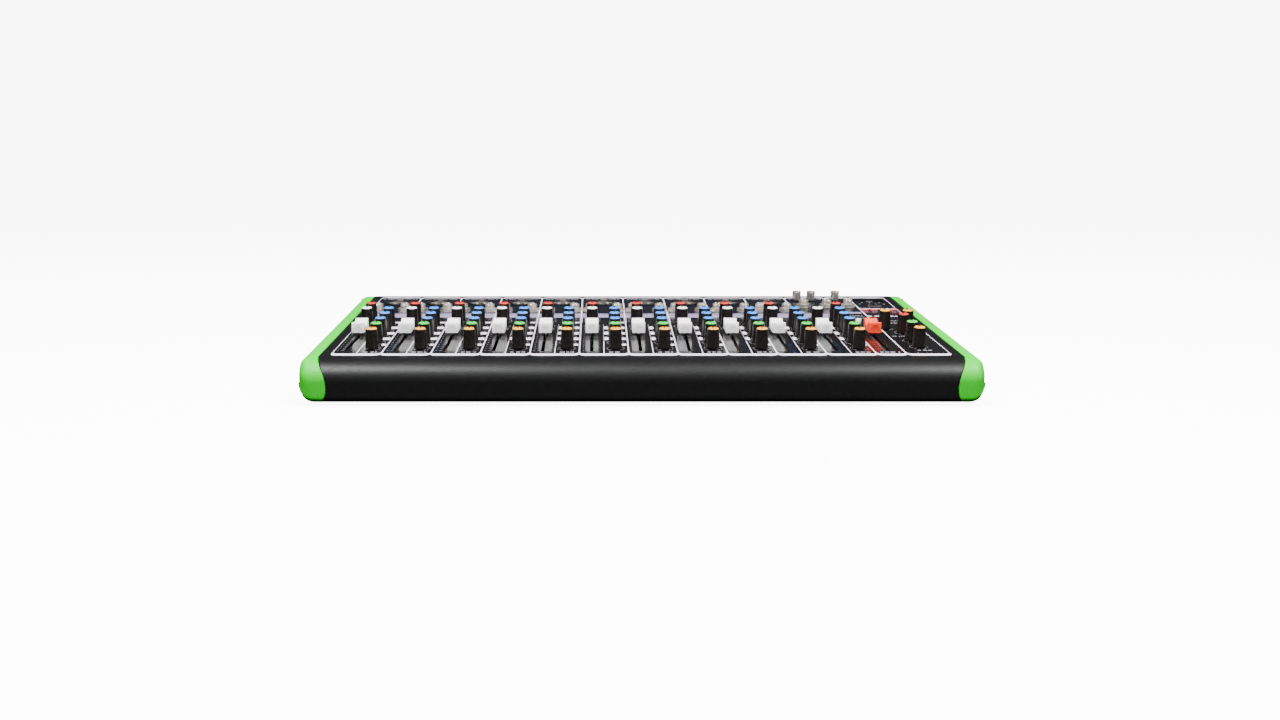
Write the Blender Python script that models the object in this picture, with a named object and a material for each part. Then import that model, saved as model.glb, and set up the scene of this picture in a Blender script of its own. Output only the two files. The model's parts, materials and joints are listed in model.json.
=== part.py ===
"""A compact mixing console: shells, boards, sockets and every control, in metres with +Z up.

The origin is at the middle of the underside of the feet. +X is to the right of the person who
works the console, and +Y points to its rear. Everything on the sloping deck is placed in the deck's
own frame: x across, y up the slope from the front border line, z straight out of the panel.
"""

import math

import bmesh
import bpy
from mathutils import Matrix, Vector

MM = 0.001

# ---------------------------------------------------------------- driving dimensions
PITCH = 40 * MM               # width of one channel strip
CHANNELS = 11
STRIPS_LEFT = -249.8 * MM     # x of the first strip's left line
MAIN_U = 11.3                 # column of the main fader, in pitches

HALF_WIDTH = 271.5 * MM
HALF_DEPTH = 148 * MM
FOOT_HEIGHT = 3 * MM          # the shells' underside stands this far off the floor
SLOPE = math.radians(4.5)
DECK_Y, DECK_Z = -122 * MM, 37.7 * MM   # the front border line of the printed panel
SHEET = 2 * MM                # thickness of the top cover
NOSE_RADIUS = 18 * MM
TOE_RADIUS = 4 * MM
GAP = 0.3 * MM                # between pieces that rest on each other

CHEEK_INNER = 258.4 * MM
LIP_THICK = 3.4 * MM
LIP_GAP = 0.6 * MM            # the cover's end stands this far from the lip's edge
# The cheek's front edge on the cover's front face, as (height, x), from the bottom up.
LIP_EDGE = ((3, 252.8), (8, 250.3), (12, 249.5), (18, 249.8), (24, 251.3), (31, 254.4), (38, 258.0))

KNOB_BASE, KNOB_TOP, KNOB_HEIGHT = 5.5 * MM, 4.9 * MM, 17.7 * MM
KNOB_CLEAR = 0.8 * MM         # the skirt's height above the deck
SPINDLE = 2.5 * MM
SPINDLE_HOLE = 3.4 * MM
RIGHT_COLUMN, LEFT_COLUMN = 0.74, 0.25   # the two columns of a strip, in pitches
LEVEL_ROW, WHITE_ROW, GAIN_ROW = 23.6 * MM, 116.5 * MM, 140 * MM
FIXED_ROWS = (47 * MM, 70 * MM, 93.5 * MM, 116.5 * MM)
LAST_GAIN_COLUMN = 0.76       # the last strip carries its gain knob on the right

FADER_REST = 81 * MM          # the cap's middle at rest, near unity gain
SLOT_FRONT, SLOT_REAR, SLOT_WIDTH = 12 * MM, 97 * MM, 2.7 * MM
CAP_WIDTH, CAP_LENGTH, CAP_HEIGHT = 10.9 * MM, 23.5 * MM, 12.4 * MM
CAP_FOOT = 2.2 * MM

JACK_ROW, JACK_COLUMNS = 190 * MM, (0.2, 0.83)
JACK_BORE, JACK_BUSH, JACK_BODY = 3.6 * MM, 4.6 * MM, 7 * MM
JACK_TOP = 7 * MM
OUTPUT_JACKS = ((10.32, 212 * MM), (10.87, 212 * MM), (11.38, 212 * MM))
PHONO_SOCKETS = ((10.27, 245 * MM), (10.62, 245 * MM), (11.21, 245 * MM))
XLR_COLUMN, XLR_ROW, XLR_RADIUS = 0.52, 230 * MM, 12.2 * MM

CONTROL_BOARD_TOP = -14 * MM
SOCKET_BOARD_TOP = -18.4 * MM
PLAYER_BOARD_TOP = -12 * MM
BOARD = 1.6 * MM

MASTER_KNOBS = (
    ("master_level_knob", 12.0, 29.5 * MM, "orange"),
    ("master_echo_knob", 11.99, 54 * MM, "green"),
    ("phones_level_knob", 12.0, 87.5 * MM, "red"),
    ("echo_time_knob", 11.69, 105 * MM, "orange"),
    ("echo_repeat_knob", 12.19, 105 * MM, "orange"),
)
PLAYER_BUTTONS = (11.69, 11.91, 12.13, 12.36)
PLAYER_BUTTON_ROW, PLAYER_BUTTON_TOP = 192 * MM, 1.6 * MM
PHANTOM_BUTTON = (11.28, 138 * MM)
PHANTOM_RADIUS, PHANTOM_TOP = 2.4 * MM, 2.6 * MM
WINDOW_X, WINDOW_Y = (11.69, 12.42), (213 * MM, 250 * MM)

INLET_X, INLET_Z = 185 * MM, 21.5 * MM
ROCKER_X = INLET_X + 15 * MM
ROCKER_Y = 140.5 * MM
ROCKER_REST = math.radians(-10)

FOOT_X, FOOT_Y = 225 * MM, (-105 * MM, 118 * MM)

COLOURS = {
    "black": ((0.015, 0.015, 0.016), 0.35, 0.0),
    "steel": ((0.18, 0.18, 0.19), 0.4, 0.8),
    "green_case": ((0.16, 0.62, 0.13), 0.3, 0.0),
    "board": ((0.02, 0.16, 0.06), 0.5, 0.0),
    "rubber": ((0.02, 0.02, 0.02), 0.9, 0.0),
    "white": ((0.85, 0.84, 0.82), 0.35, 0.0),
    "red": ((0.75, 0.07, 0.04), 0.35, 0.0),
    "orange": ((0.9, 0.42, 0.05), 0.35, 0.0),
    "green": ((0.12, 0.65, 0.18), 0.35, 0.0),
    "pink": ((0.85, 0.3, 0.28), 0.3, 0.0),
    "window": ((0.02, 0.02, 0.06), 0.1, 0.0),
}


def clear_scene():
    for obj in list(bpy.data.objects):
        bpy.data.objects.remove(obj, do_unlink=True)


def column(u):
    """x of a column given in channel pitches from the first strip's left line."""
    return STRIPS_LEFT + u * PITCH


def deck_to_world(x, y, z):
    return DECK_MATRIX @ Vector((x, y, z))


DECK_MATRIX = Matrix.Translation((0, DECK_Y, DECK_Z)) @ Matrix.Rotation(SLOPE, 4, "X")


# ---------------------------------------------------------------- mesh helpers
def add_box(bm, low, high):
    low, high = Vector(low), Vector(high)
    size = Matrix.Diagonal((*(high - low), 1.0))
    bmesh.ops.create_cube(bm, size=1.0, matrix=Matrix.Translation((low + high) / 2) @ size)


def face_outwards(bm):
    bmesh.ops.recalc_face_normals(bm, faces=bm.faces)
    if bm.calc_volume(signed=True) < 0:
        bmesh.ops.reverse_faces(bm, faces=bm.faces)


def add_prism(bm, x, y, z_low, z_high, radius, segments):
    """An upright prism whose flats, not corners, face the sides."""
    turn = Matrix.Rotation(math.pi / segments, 4, "Z")
    place = Matrix.Translation((x, y, (z_low + z_high) / 2)) @ turn
    bmesh.ops.create_cone(bm, cap_ends=True, segments=segments, radius1=radius, radius2=radius,
                          depth=z_high - z_low, matrix=place)


def add_turned(bm, x, y, profile, segments):
    """A solid turned about the vertical through (x, y). The profile starts and ends on the axis."""
    new = bmesh.new()
    verts = [new.verts.new((radius, 0, height)) for radius, height in profile]
    edges = [new.edges.new(pair) for pair in zip(verts, verts[1:])]
    bmesh.ops.spin(new, geom=verts + edges, cent=(0, 0, 0), axis=(0, 0, 1), angle=2 * math.pi,
                   steps=segments, use_merge=True)
    bmesh.ops.remove_doubles(new, verts=new.verts, dist=1e-6)
    bmesh.ops.recalc_face_normals(new, faces=new.faces)
    turn = Matrix.Rotation(math.pi / segments, 4, "Z")
    bmesh.ops.transform(new, matrix=Matrix.Translation((x, y, 0)) @ turn, verts=new.verts)
    mesh = bpy.data.meshes.new("turned")
    new.to_mesh(mesh)
    new.free()
    bm.from_mesh(mesh)
    bpy.data.meshes.remove(mesh)


def add_extruded(bm, outline, along):
    """Extrudes a closed outline of 3-D points by the vector `along`."""
    face = bm.faces.new([bm.verts.new(point) for point in outline])
    new = bmesh.ops.extrude_face_region(bm, geom=[face])["geom"]
    bmesh.ops.translate(bm, vec=along, verts=[v for v in new if isinstance(v, bmesh.types.BMVert)])
    face_outwards(bm)


def material(colour):
    name = f"{colour}_finish"
    found = bpy.data.materials.get(name)
    if found:
        return found
    base, roughness, metallic = COLOURS[colour]
    made = bpy.data.materials.new(name)
    made.use_nodes = True
    shader = made.node_tree.nodes["Principled BSDF"]
    shader.inputs["Base Color"].default_value = (*base, 1)
    shader.inputs["Roughness"].default_value = roughness
    shader.inputs["Metallic"].default_value = metallic
    return made


def solid(name, bm, colour, parent=None, location=(0, 0, 0), rotation=(0, 0, 0)):
    """Turns the bmesh into an object with its own material."""
    mesh = bpy.data.meshes.new(name)
    bm.to_mesh(mesh)
    bm.free()
    mesh.materials.append(material(colour))
    obj = bpy.data.objects.new(name, mesh)
    bpy.context.scene.collection.objects.link(obj)
    obj.parent = parent
    obj.location = location
    obj.rotation_euler = rotation
    return obj


def helper(name, bm, parent=None):
    """A solid that only shapes other solids."""
    obj = solid(name, bm, "steel", parent)
    obj.hide_render = True
    obj.display_type = "WIRE"
    return obj


def combine(obj, other, operation):
    boolean = obj.modifiers.new(f"{operation}_{other.name}".lower(), "BOOLEAN")
    boolean.operation = operation
    boolean.object = other
    boolean.solver = "EXACT"


# ---------------------------------------------------------------- the body's outline
def arc(centre, radius, start, end, steps):
    """Points on an arc in the side view, from one angle to the other, in degrees."""
    angles = [math.radians(start + (end - start) * i / steps) for i in range(steps + 1)]
    return [(centre[0] + radius * math.cos(a), centre[1] + radius * math.sin(a)) for a in angles]


def deck_height(y, below=0.0):
    """z of the deck's surface, or of a plane `below` it, at a given y."""
    return DECK_Z + (y - DECK_Y) * math.tan(SLOPE) - below / math.cos(SLOPE)


def front_outline(inset):
    """(y, z) from the front flange, round the toe and the nose, to the start of the deck."""
    toe = (-HALF_DEPTH + TOE_RADIUS, FOOT_HEIGHT + TOE_RADIUS)
    nose_y = -HALF_DEPTH + NOSE_RADIUS
    nose = (nose_y, deck_height(nose_y, NOSE_RADIUS))
    toe_arc = arc(toe, TOE_RADIUS - inset, 270, 180, 3)
    return toe_arc + arc(nose, NOSE_RADIUS - inset, 180, 90 + math.degrees(SLOPE), 8)


def lip_x(z):
    """The cheek lip's edge on the cover at height z, read along LIP_EDGE."""
    points = [(height * MM, x * MM) for height, x in LIP_EDGE]
    for (low, low_x), (high, high_x) in zip(points, points[1:]):
        if z <= high:
            share = max(0.0, (z - low) / (high - low))
            return low_x + (high_x - low_x) * share
    return points[-1][1]


def add_strip(bm, rings):
    """A bar through a row of four-cornered sections."""
    rows = [[bm.verts.new(point) for point in ring] for ring in rings]
    for row, next_row in zip(rows, rows[1:]):
        for i in range(4):
            bm.faces.new((row[i - 1], row[i], next_row[i], next_row[i - 1]))
    bm.faces.new(rows[0])
    bm.faces.new(rows[-1])
    face_outwards(bm)


# ---------------------------------------------------------------- shells
def cover_holes():
    """Every hole of the deck, in the deck's frame."""
    low, high = -6 * MM, 6 * MM
    bm = bmesh.new()
    for x, y in all_knobs():
        add_prism(bm, x, y, low, high, SPINDLE_HOLE, 6)
    for x in fader_columns():
        add_box(bm, (x - SLOT_WIDTH / 2, SLOT_FRONT, low), (x + SLOT_WIDTH / 2, SLOT_REAR, high))
    for x, y in jack_places():
        add_prism(bm, x, y, low, high, JACK_BUSH + 0.5 * MM, 8)
    for u, y in PHONO_SOCKETS:
        add_prism(bm, column(u), y, low, high, 5.2 * MM, 8)
    for x in xlr_columns():
        add_prism(bm, x, XLR_ROW, low, high, XLR_RADIUS + 0.6 * MM, 12)
    for u in PLAYER_BUTTONS:
        x = column(u)
        add_box(bm, (x - 3.9 * MM, PLAYER_BUTTON_ROW - 2.6 * MM, low),
                (x + 3.9 * MM, PLAYER_BUTTON_ROW + 2.6 * MM, high))
    add_prism(bm, column(PHANTOM_BUTTON[0]), PHANTOM_BUTTON[1], low, high, PHANTOM_RADIUS + 0.5 * MM, 8)
    add_box(bm, (column(WINDOW_X[0]), WINDOW_Y[0], low), (column(WINDOW_X[1]), WINDOW_Y[1], high))
    return helper("cover_holes", bm, DECK)


def make_top_cover():
    """Front flange, rounded nose and deck in one bent sheet, drawn in at the front for the cheeks' lips."""
    end = CHEEK_INNER - GAP
    flange, flange_end, deck_start = -132 * MM, -142 * MM, -130.4 * MM
    outer, inner = front_outline(0), front_outline(SHEET)
    ends = [end, end] + [lip_x(z) - LIP_GAP for _, z in outer] + [end, end]
    outer = [(flange, FOOT_HEIGHT), (flange_end, FOOT_HEIGHT)] + outer
    inner = [(flange, FOOT_HEIGHT + SHEET), (flange_end, FOOT_HEIGHT + SHEET)] + inner
    outer[2] = (outer[2][0] + GAP, FOOT_HEIGHT)
    inner[2] = (inner[2][0] + GAP, FOOT_HEIGHT + SHEET)
    for y in (deck_start, HALF_DEPTH):
        outer.append((y, deck_height(y)))
        inner.append((y, deck_height(y, SHEET)))
    bm = bmesh.new()
    add_strip(bm, [((-x, *out), (x, *out), (x, *into), (-x, *into))
                   for x, out, into in zip(ends, outer, inner)])
    cover = solid("top_cover", bm, "black")
    combine(cover, cover_holes(), "DIFFERENCE")


def drop(x, start, depth):
    """How far an elliptic round that begins at `start` has fallen away at x."""
    share = max(0.0, (x - start) / (HALF_WIDTH - start))
    return depth * (1 - math.sqrt(max(0.0, 1 - share * share)))


def cheek_ring(x):
    """The cheek's side outline at a distance x from the middle, drawn in where its edges round off."""
    outline = front_outline(0)
    rear_top = (HALF_DEPTH, deck_height(HALF_DEPTH))
    outline += [(rear_top[0] - 2 * MM, deck_height(rear_top[0] - 2 * MM)), (rear_top[0], rear_top[1] - 2 * MM)]
    outline += [(HALF_DEPTH, FOOT_HEIGHT + 2 * MM), (HALF_DEPTH - 2 * MM, FOOT_HEIGHT)]
    ring = []
    for i, (y, z) in enumerate(outline):
        before, after = outline[i - 1], outline[(i + 1) % len(outline)]
        along = Vector((after[0] - before[0], after[1] - before[1])).normalized()
        inward = Vector((along.y, -along.x))
        facing_front = max(0.0, inward.x) ** 2
        top, front = drop(x, 264 * MM, 4.5 * MM), drop(x, 261 * MM, 8 * MM)
        y, z = Vector((y, z)) + inward * (top + (front - top) * facing_front)
        reach = 24 * MM
        if z < FOOT_HEIGHT + reach:
            lift = drop(x, 259 * MM, 13 * MM)
            z += lift * (1 - (z - FOOT_HEIGHT) / reach)
        ring.append((y, z))
    return ring


def add_cheek_lip(bm, side, ring):
    """The lip that leaves the cheek's front outline, and the face that closes the cheek's inner side."""
    outer, inner = front_outline(0), front_outline(LIP_THICK)
    edges = [side * lip_x(z) for _, z in outer]
    outer_edge = [bm.verts.new((x, y, z)) for x, (y, z) in zip(edges, outer)]
    inner_edge = [bm.verts.new((x, y, z)) for x, (y, z) in zip(edges, inner)]
    inner_base = [bm.verts.new((side * CHEEK_INNER, y, z)) for y, z in inner]
    rows = (ring[:len(outer)], outer_edge, inner_edge, inner_base)
    for row, next_row in zip(rows, rows[1:]):
        for i in range(len(outer) - 1):
            bm.faces.new((row[i], row[i + 1], next_row[i + 1], next_row[i]))
    for i in (0, -1):
        bm.faces.new([row[i] for row in rows])
    bm.faces.new(inner_base + ring[len(outer) - 1:] + ring[:1])


def make_cheek(name, side):
    """A moulded end cap with a lip that wraps round the cover's front corner."""
    stations = [CHEEK_INNER] + [x * MM for x in (261, 264, 267, 269.3, 270.7, 271.3, 271.5)]
    bm = bmesh.new()
    rings = [[bm.verts.new((side * x, y, z)) for y, z in cheek_ring(x)] for x in stations]
    for ring, next_ring in zip(rings, rings[1:]):
        for i in range(len(ring)):
            bm.faces.new((ring[i - 1], ring[i], next_ring[i], next_ring[i - 1]))
    bm.faces.new(rings[-1])
    add_cheek_lip(bm, side, rings[0])
    face_outwards(bm)
    solid(name, bm, "green_case")


def make_base_pan():
    """Flat bottom with upright ends, stand-offs for the board and clearance holes for the feet."""
    front, rear, half = -131.4 * MM, 145 * MM, 257.6 * MM
    wall, plate = 1.6 * MM, 1.4 * MM
    bm = bmesh.new()
    add_box(bm, (-half, front, FOOT_HEIGHT), (half, rear, FOOT_HEIGHT + plate))
    pan = solid("base_pan", bm, "steel")
    ends = bmesh.new()
    outline = [(rear, FOOT_HEIGHT + 0.5 * MM), (front, FOOT_HEIGHT + 0.5 * MM),
               (front, FOOT_HEIGHT + LIP_THICK + GAP)]
    outline += front_outline(LIP_THICK + GAP)
    outline.append((rear, deck_height(rear, SHEET + GAP)))
    for x in (-half, half - wall):
        add_extruded(ends, [(x, y, z) for y, z in outline], (wall, 0, 0))
    for x in (-230 * MM, 0.0, 238 * MM):
        for y in (5 * MM, 151 * MM):
            foot = deck_to_world(x, y, CONTROL_BOARD_TOP - BOARD)
            add_prism(ends, foot.x, foot.y, FOOT_HEIGHT + 0.5 * MM, foot.z - 0.6 * MM, 3 * MM, 6)
    combine(pan, helper("pan_ends", ends), "UNION")
    holes = bmesh.new()
    for x, y in foot_places():
        add_prism(holes, x, y, 0, 8 * MM, 2.6 * MM, 8)
    combine(pan, helper("pan_holes", holes), "DIFFERENCE")


def foot_places():
    return [(x, y) for y in FOOT_Y for x in (-FOOT_X, FOOT_X)]


def make_feet():
    """Rubber feet, each with the screw that passes through the pan."""
    names = ("foot_front_left", "foot_front_right", "foot_rear_left", "foot_rear_right")
    top = FOOT_HEIGHT - GAP
    profile = ((0, 0), (8 * MM, 0), (9 * MM, top), (2 * MM, top), (2 * MM, 7.5 * MM), (0, 7.5 * MM))
    for name, (x, y) in zip(names, foot_places()):
        bm = bmesh.new()
        add_turned(bm, 0, 0, profile, 12)
        solid(name, bm, "rubber", location=(x, y, 0))


def make_rear_panel():
    bm = bmesh.new()
    add_box(bm, (-257.6 * MM, 145.3 * MM, FOOT_HEIGHT), (257.6 * MM, 146.8 * MM, 56.2 * MM))
    panel = solid("rear_panel", bm, "black")
    opening = bmesh.new()
    add_box(opening, (INLET_X - 25 * MM, 140 * MM, INLET_Z - 13 * MM),
            (INLET_X + 25 * MM, 150 * MM, INLET_Z + 13 * MM))
    combine(panel, helper("inlet_opening", opening), "DIFFERENCE")


# ---------------------------------------------------------------- places of the controls
def channel_columns(share):
    return [column(channel + share) for channel in range(CHANNELS)]


def fader_columns():
    return channel_columns(LEFT_COLUMN) + [column(MAIN_U)]


def gain_columns():
    return channel_columns(LEFT_COLUMN)[:-1] + [column(CHANNELS - 1 + LAST_GAIN_COLUMN)]


def fixed_knobs():
    """The channel knobs that are made as one piece with the board's potentiometers."""
    rows = [(x, y) for x in channel_columns(RIGHT_COLUMN) for y in FIXED_ROWS]
    return rows + [(x, WHITE_ROW) for x in channel_columns(LEFT_COLUMN)]


def turning_knobs():
    """(name, x, y, colour) of every knob with its own joint."""
    places = []
    for number, x in enumerate(gain_columns(), 1):
        places.append((f"gain_knob_{number:02d}", x, GAIN_ROW, "red"))
    for number, x in enumerate(channel_columns(RIGHT_COLUMN), 1):
        places.append((f"level_knob_{number:02d}", x, LEVEL_ROW, "orange"))
    places += [(name, column(u), y, colour) for name, u, y, colour in MASTER_KNOBS]
    return places


def all_knobs():
    return fixed_knobs() + [(x, y) for _, x, y, _ in turning_knobs()]


def jack_places():
    inputs = [(column(n + share), JACK_ROW) for n in range(CHANNELS - 1) for share in JACK_COLUMNS]
    return inputs + [(column(u), y) for u, y in OUTPUT_JACKS]


def xlr_columns():
    return channel_columns(XLR_COLUMN)[:-1]


# ---------------------------------------------------------------- boards
def make_control_board():
    """The control board with its fader tracks, potentiometers and the knobs joined to them."""
    top = CONTROL_BOARD_TOP
    bm = bmesh.new()
    add_box(bm, (-250 * MM, 1 * MM, top - BOARD), (251 * MM, 158 * MM, top))
    board = solid("control_board", bm, "board", DECK)
    parts = bmesh.new()
    knob = ((0, top - 0.4 * MM), (SPINDLE, top - 0.4 * MM), (SPINDLE, KNOB_CLEAR),
            (KNOB_BASE, KNOB_CLEAR), (KNOB_TOP, KNOB_HEIGHT), (0, KNOB_HEIGHT))
    for x, y in fixed_knobs():
        add_turned(parts, x, y, knob, 8)
    for _, x, y, _ in turning_knobs():
        pot = 4.6 * MM
        add_box(parts, (x - pot, y - pot, top - 0.4 * MM), (x + pot, y + pot, -8 * MM))
    for x in fader_columns():
        for wall in (-5.4 * MM, 4 * MM):
            add_box(parts, (x + wall, SLOT_FRONT - 2 * MM, top - 0.4 * MM),
                    (x + wall + 1.4 * MM, SLOT_REAR + 2 * MM, -6 * MM))
    combine(board, helper("board_parts", parts, DECK), "UNION")


def add_jack(bm, x, y):
    """A 6.35 mm socket: moulded body under the deck, threaded bush above it, blind bore."""
    floor = SOCKET_BOARD_TOP - 0.4 * MM
    add_turned(bm, x, y, ((0, floor), (JACK_BODY, floor), (JACK_BODY, -SHEET - GAP),
                          (JACK_BUSH, -SHEET - GAP), (JACK_BUSH, JACK_TOP), (JACK_BORE, JACK_TOP),
                          (JACK_BORE, -16 * MM), (0, -16 * MM)), 8)


def add_xlr(bm, x):
    """A three-pole panel socket: a shell with the groove that takes the plug's sleeve."""
    floor = SOCKET_BOARD_TOP - 0.4 * MM
    add_turned(bm, x, XLR_ROW, ((0, floor), (XLR_RADIUS, floor), (XLR_RADIUS, 1.2 * MM),
                                (9.5 * MM, 1.2 * MM), (9.5 * MM, -12 * MM), (7.3 * MM, -12 * MM),
                                (7.3 * MM, -1 * MM), (0, -1 * MM)), 12)


def add_phono(bm, u, y):
    floor = SOCKET_BOARD_TOP - 0.4 * MM
    add_turned(bm, column(u), y, ((0, floor), (4.8 * MM, floor), (4.8 * MM, 1.5 * MM),
                                  (4.15 * MM, 1.5 * MM), (4.15 * MM, 9.5 * MM), (1.7 * MM, 9.5 * MM),
                                  (1.7 * MM, 1 * MM), (0, 1 * MM)), 8)


def make_socket_boards():
    """The input board of the first ten channels, and the output board beside it."""
    top = SOCKET_BOARD_TOP
    split = column(CHANNELS - 1)
    bm = bmesh.new()
    add_box(bm, (-250 * MM, 178 * MM, top - BOARD), (split - 0.5 * MM, 260 * MM, top))
    inputs = solid("input_board", bm, "board", DECK)
    bm = bmesh.new()
    add_box(bm, (split + 0.5 * MM, 178 * MM, top - BOARD), (column(11.56), 260 * MM, top))
    outputs = solid("output_board", bm, "board", DECK)
    parts = bmesh.new()
    for x, y in jack_places()[:-len(OUTPUT_JACKS)]:
        add_jack(parts, x, y)
    for x in xlr_columns():
        add_xlr(parts, x)
    combine(inputs, helper("input_sockets", parts, DECK), "UNION")
    parts = bmesh.new()
    for x, y in jack_places()[-len(OUTPUT_JACKS):]:
        add_jack(parts, x, y)
    for u, y in PHONO_SOCKETS:
        add_phono(parts, u, y)
    combine(outputs, helper("output_sockets", parts, DECK), "UNION")


def make_player_module():
    """The player's window block on its board, with a port and the switches under the buttons."""
    top, inset = PLAYER_BOARD_TOP, 0.35 * MM
    left, right = column(WINDOW_X[0]) + inset, column(WINDOW_X[1]) - inset
    bm = bmesh.new()
    add_box(bm, (column(11.58), 186 * MM, top - BOARD), (251 * MM, 254 * MM, top))
    module = solid("player_module", bm, "window", DECK)
    parts = bmesh.new()
    add_box(parts, (left, WINDOW_Y[0] + inset, top - 0.4 * MM), (right, WINDOW_Y[1] - inset, -0.4 * MM))
    for u in PLAYER_BUTTONS:
        x, half = column(u), 2.6 * MM
        add_box(parts, (x - half, PLAYER_BUTTON_ROW - half, top - 0.4 * MM),
                (x + half, PLAYER_BUTTON_ROW + half, -8 * MM))
    combine(module, helper("player_parts", parts, DECK), "UNION")
    port = bmesh.new()
    middle = (left + right) / 2
    add_box(port, (middle - 6.3 * MM, 216 * MM, -10 * MM), (middle + 6.3 * MM, 219 * MM, 2 * MM))
    combine(module, helper("player_port", port, DECK), "DIFFERENCE")


def make_power_supply():
    """The mains converter, stood on the pan."""
    bm = bmesh.new()
    add_box(bm, (60 * MM, 72 * MM, FOOT_HEIGHT + 1.7 * MM), (148 * MM, 122 * MM, 25 * MM))
    bmesh.ops.bevel(bm, geom=[e for e in bm.edges if abs((e.verts[0].co - e.verts[1].co).z) > 5 * MM],
                    offset=2 * MM, segments=1, affect="EDGES", profile=0.5)
    solid("power_supply", bm, "steel")


# ---------------------------------------------------------------- mains inlet and its rocker
def make_mains_inlet():
    """A three-pin inlet and the rocker's bay in one moulding, set in the rear panel."""
    bm = bmesh.new()
    add_box(bm, (INLET_X - 28 * MM, 147.1 * MM, INLET_Z - 15 * MM),
            (INLET_X + 28 * MM, HALF_DEPTH, INLET_Z + 15 * MM))
    inlet = solid("mains_inlet", bm, "black")
    body = bmesh.new()
    add_box(body, (INLET_X - 24.6 * MM, 127 * MM, INLET_Z - 12.6 * MM),
            (INLET_X + 24.6 * MM, 147.5 * MM, INLET_Z + 12.6 * MM))
    combine(inlet, helper("inlet_body", body), "UNION")
    hollow = bmesh.new()
    socket_x = INLET_X - 9 * MM
    add_box(hollow, (socket_x - 12.2 * MM, 131 * MM, INLET_Z - 8.3 * MM),
            (socket_x + 12.2 * MM, 150 * MM, INLET_Z + 8.3 * MM))
    add_box(hollow, (ROCKER_X - 7 * MM, 131 * MM, INLET_Z - 10.6 * MM),
            (ROCKER_X + 7 * MM, 150 * MM, INLET_Z + 10.6 * MM))
    combine(inlet, helper("inlet_hollow", hollow), "DIFFERENCE")
    pins = bmesh.new()
    for x, z in ((-7, -1), (7, -1), (0, 3)):
        x, z = socket_x + x * MM, INLET_Z + z * MM
        add_box(pins, (x - 1 * MM, 130.5 * MM, z - 2 * MM), (x + 1 * MM, 142 * MM, z + 2 * MM))
    combine(inlet, helper("inlet_pins", pins), "UNION")


def make_power_rocker():
    half = 6.6 * MM
    outline = [(5.8, 9.2), (4.4, 0), (5.8, -9.2), (-1.5, -8.4), (-6, -2.5), (-6, 2.5), (-1.5, 8.4)]
    bm = bmesh.new()
    add_extruded(bm, [(-half, y * MM, z * MM) for y, z in outline], (2 * half, 0, 0))
    solid("power_rocker", bm, "black", location=(ROCKER_X, ROCKER_Y, INLET_Z),
          rotation=(ROCKER_REST, 0, 0))


# ---------------------------------------------------------------- moving controls
def make_turning_knobs():
    profile = ((0, -7.6 * MM), (SPINDLE, -7.6 * MM), (SPINDLE, KNOB_CLEAR), (KNOB_BASE, KNOB_CLEAR),
               (KNOB_TOP, KNOB_HEIGHT - 0.6 * MM), (KNOB_TOP - 1 * MM, KNOB_HEIGHT), (0, KNOB_HEIGHT))
    for name, x, y, colour in turning_knobs():
        bm = bmesh.new()
        add_turned(bm, 0, 0, profile, 10)
        solid(name, bm, colour, DECK, (x, y, 0))


def make_fader(name, x, colour):
    """A fader cap with two finger ridges and a hollow between them, on its blade."""
    half, ridge, valley = CAP_LENGTH / 2, 3.6 * MM, 4.2 * MM
    low, high = CAP_FOOT, CAP_HEIGHT
    outline = [(-half, low), (-half + 0.8 * MM, high), (-half + ridge, high)]
    steps = 6
    for i in range(1, steps):
        share = i / steps
        y = (-half + ridge) + share * 2 * (half - ridge)
        outline.append((y, high - valley * math.sin(math.pi * share)))
    outline += [(half - ridge, high), (half - 0.8 * MM, high), (half, low)]
    bm = bmesh.new()
    add_extruded(bm, [(-CAP_WIDTH / 2, y, z) for y, z in outline], (CAP_WIDTH, 0, 0))
    cap = solid(name, bm, colour, DECK, (x, FADER_REST, 0))
    blade = bmesh.new()
    add_box(blade, (-0.8 * MM, -3 * MM, -11 * MM), (0.8 * MM, 3 * MM, low + 1 * MM))
    cutter = helper(f"{name}_blade", blade, DECK)
    cutter.location = cap.location
    combine(cap, cutter, "UNION")


def make_faders():
    for number, x in enumerate(channel_columns(LEFT_COLUMN), 1):
        make_fader(f"channel_fader_{number:02d}", x, "white")
    make_fader("main_fader", column(MAIN_U), "red")


def make_buttons():
    """Four player keys and the small phantom power key, each on its stem."""
    for number, u in enumerate(PLAYER_BUTTONS, 1):
        bm = bmesh.new()
        add_box(bm, (-3.5 * MM, -2.2 * MM, -6.4 * MM), (3.5 * MM, 2.2 * MM, PLAYER_BUTTON_TOP))
        tops = [e for e in bm.edges if min(v.co.z for v in e.verts) > 0]
        bmesh.ops.bevel(bm, geom=tops, offset=0.6 * MM, segments=1, affect="EDGES", profile=0.5)
        solid(f"player_button_{number}", bm, "pink", DECK, (column(u), PLAYER_BUTTON_ROW, 0))
    bm = bmesh.new()
    radius, top = PHANTOM_RADIUS, PHANTOM_TOP
    add_turned(bm, 0, 0, ((0, -11 * MM), (radius, -11 * MM), (radius, top - 0.5 * MM),
                          (radius - 0.5 * MM, top), (0, top)), 10)
    solid("phantom_button", bm, "white", DECK, (column(PHANTOM_BUTTON[0]), PHANTOM_BUTTON[1], 0))


clear_scene()
DECK = bpy.data.objects.new("deck_frame", None)
bpy.context.scene.collection.objects.link(DECK)
DECK.location = (0, DECK_Y, DECK_Z)
DECK.rotation_euler = (SLOPE, 0, 0)

make_top_cover()
make_cheek("left_cheek", -1)
make_cheek("right_cheek", 1)
make_base_pan()
make_feet()
make_rear_panel()
make_control_board()
make_socket_boards()
make_player_module()
make_power_supply()
make_mains_inlet()
make_power_rocker()
make_turning_knobs()
make_faders()
make_buttons()
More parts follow.
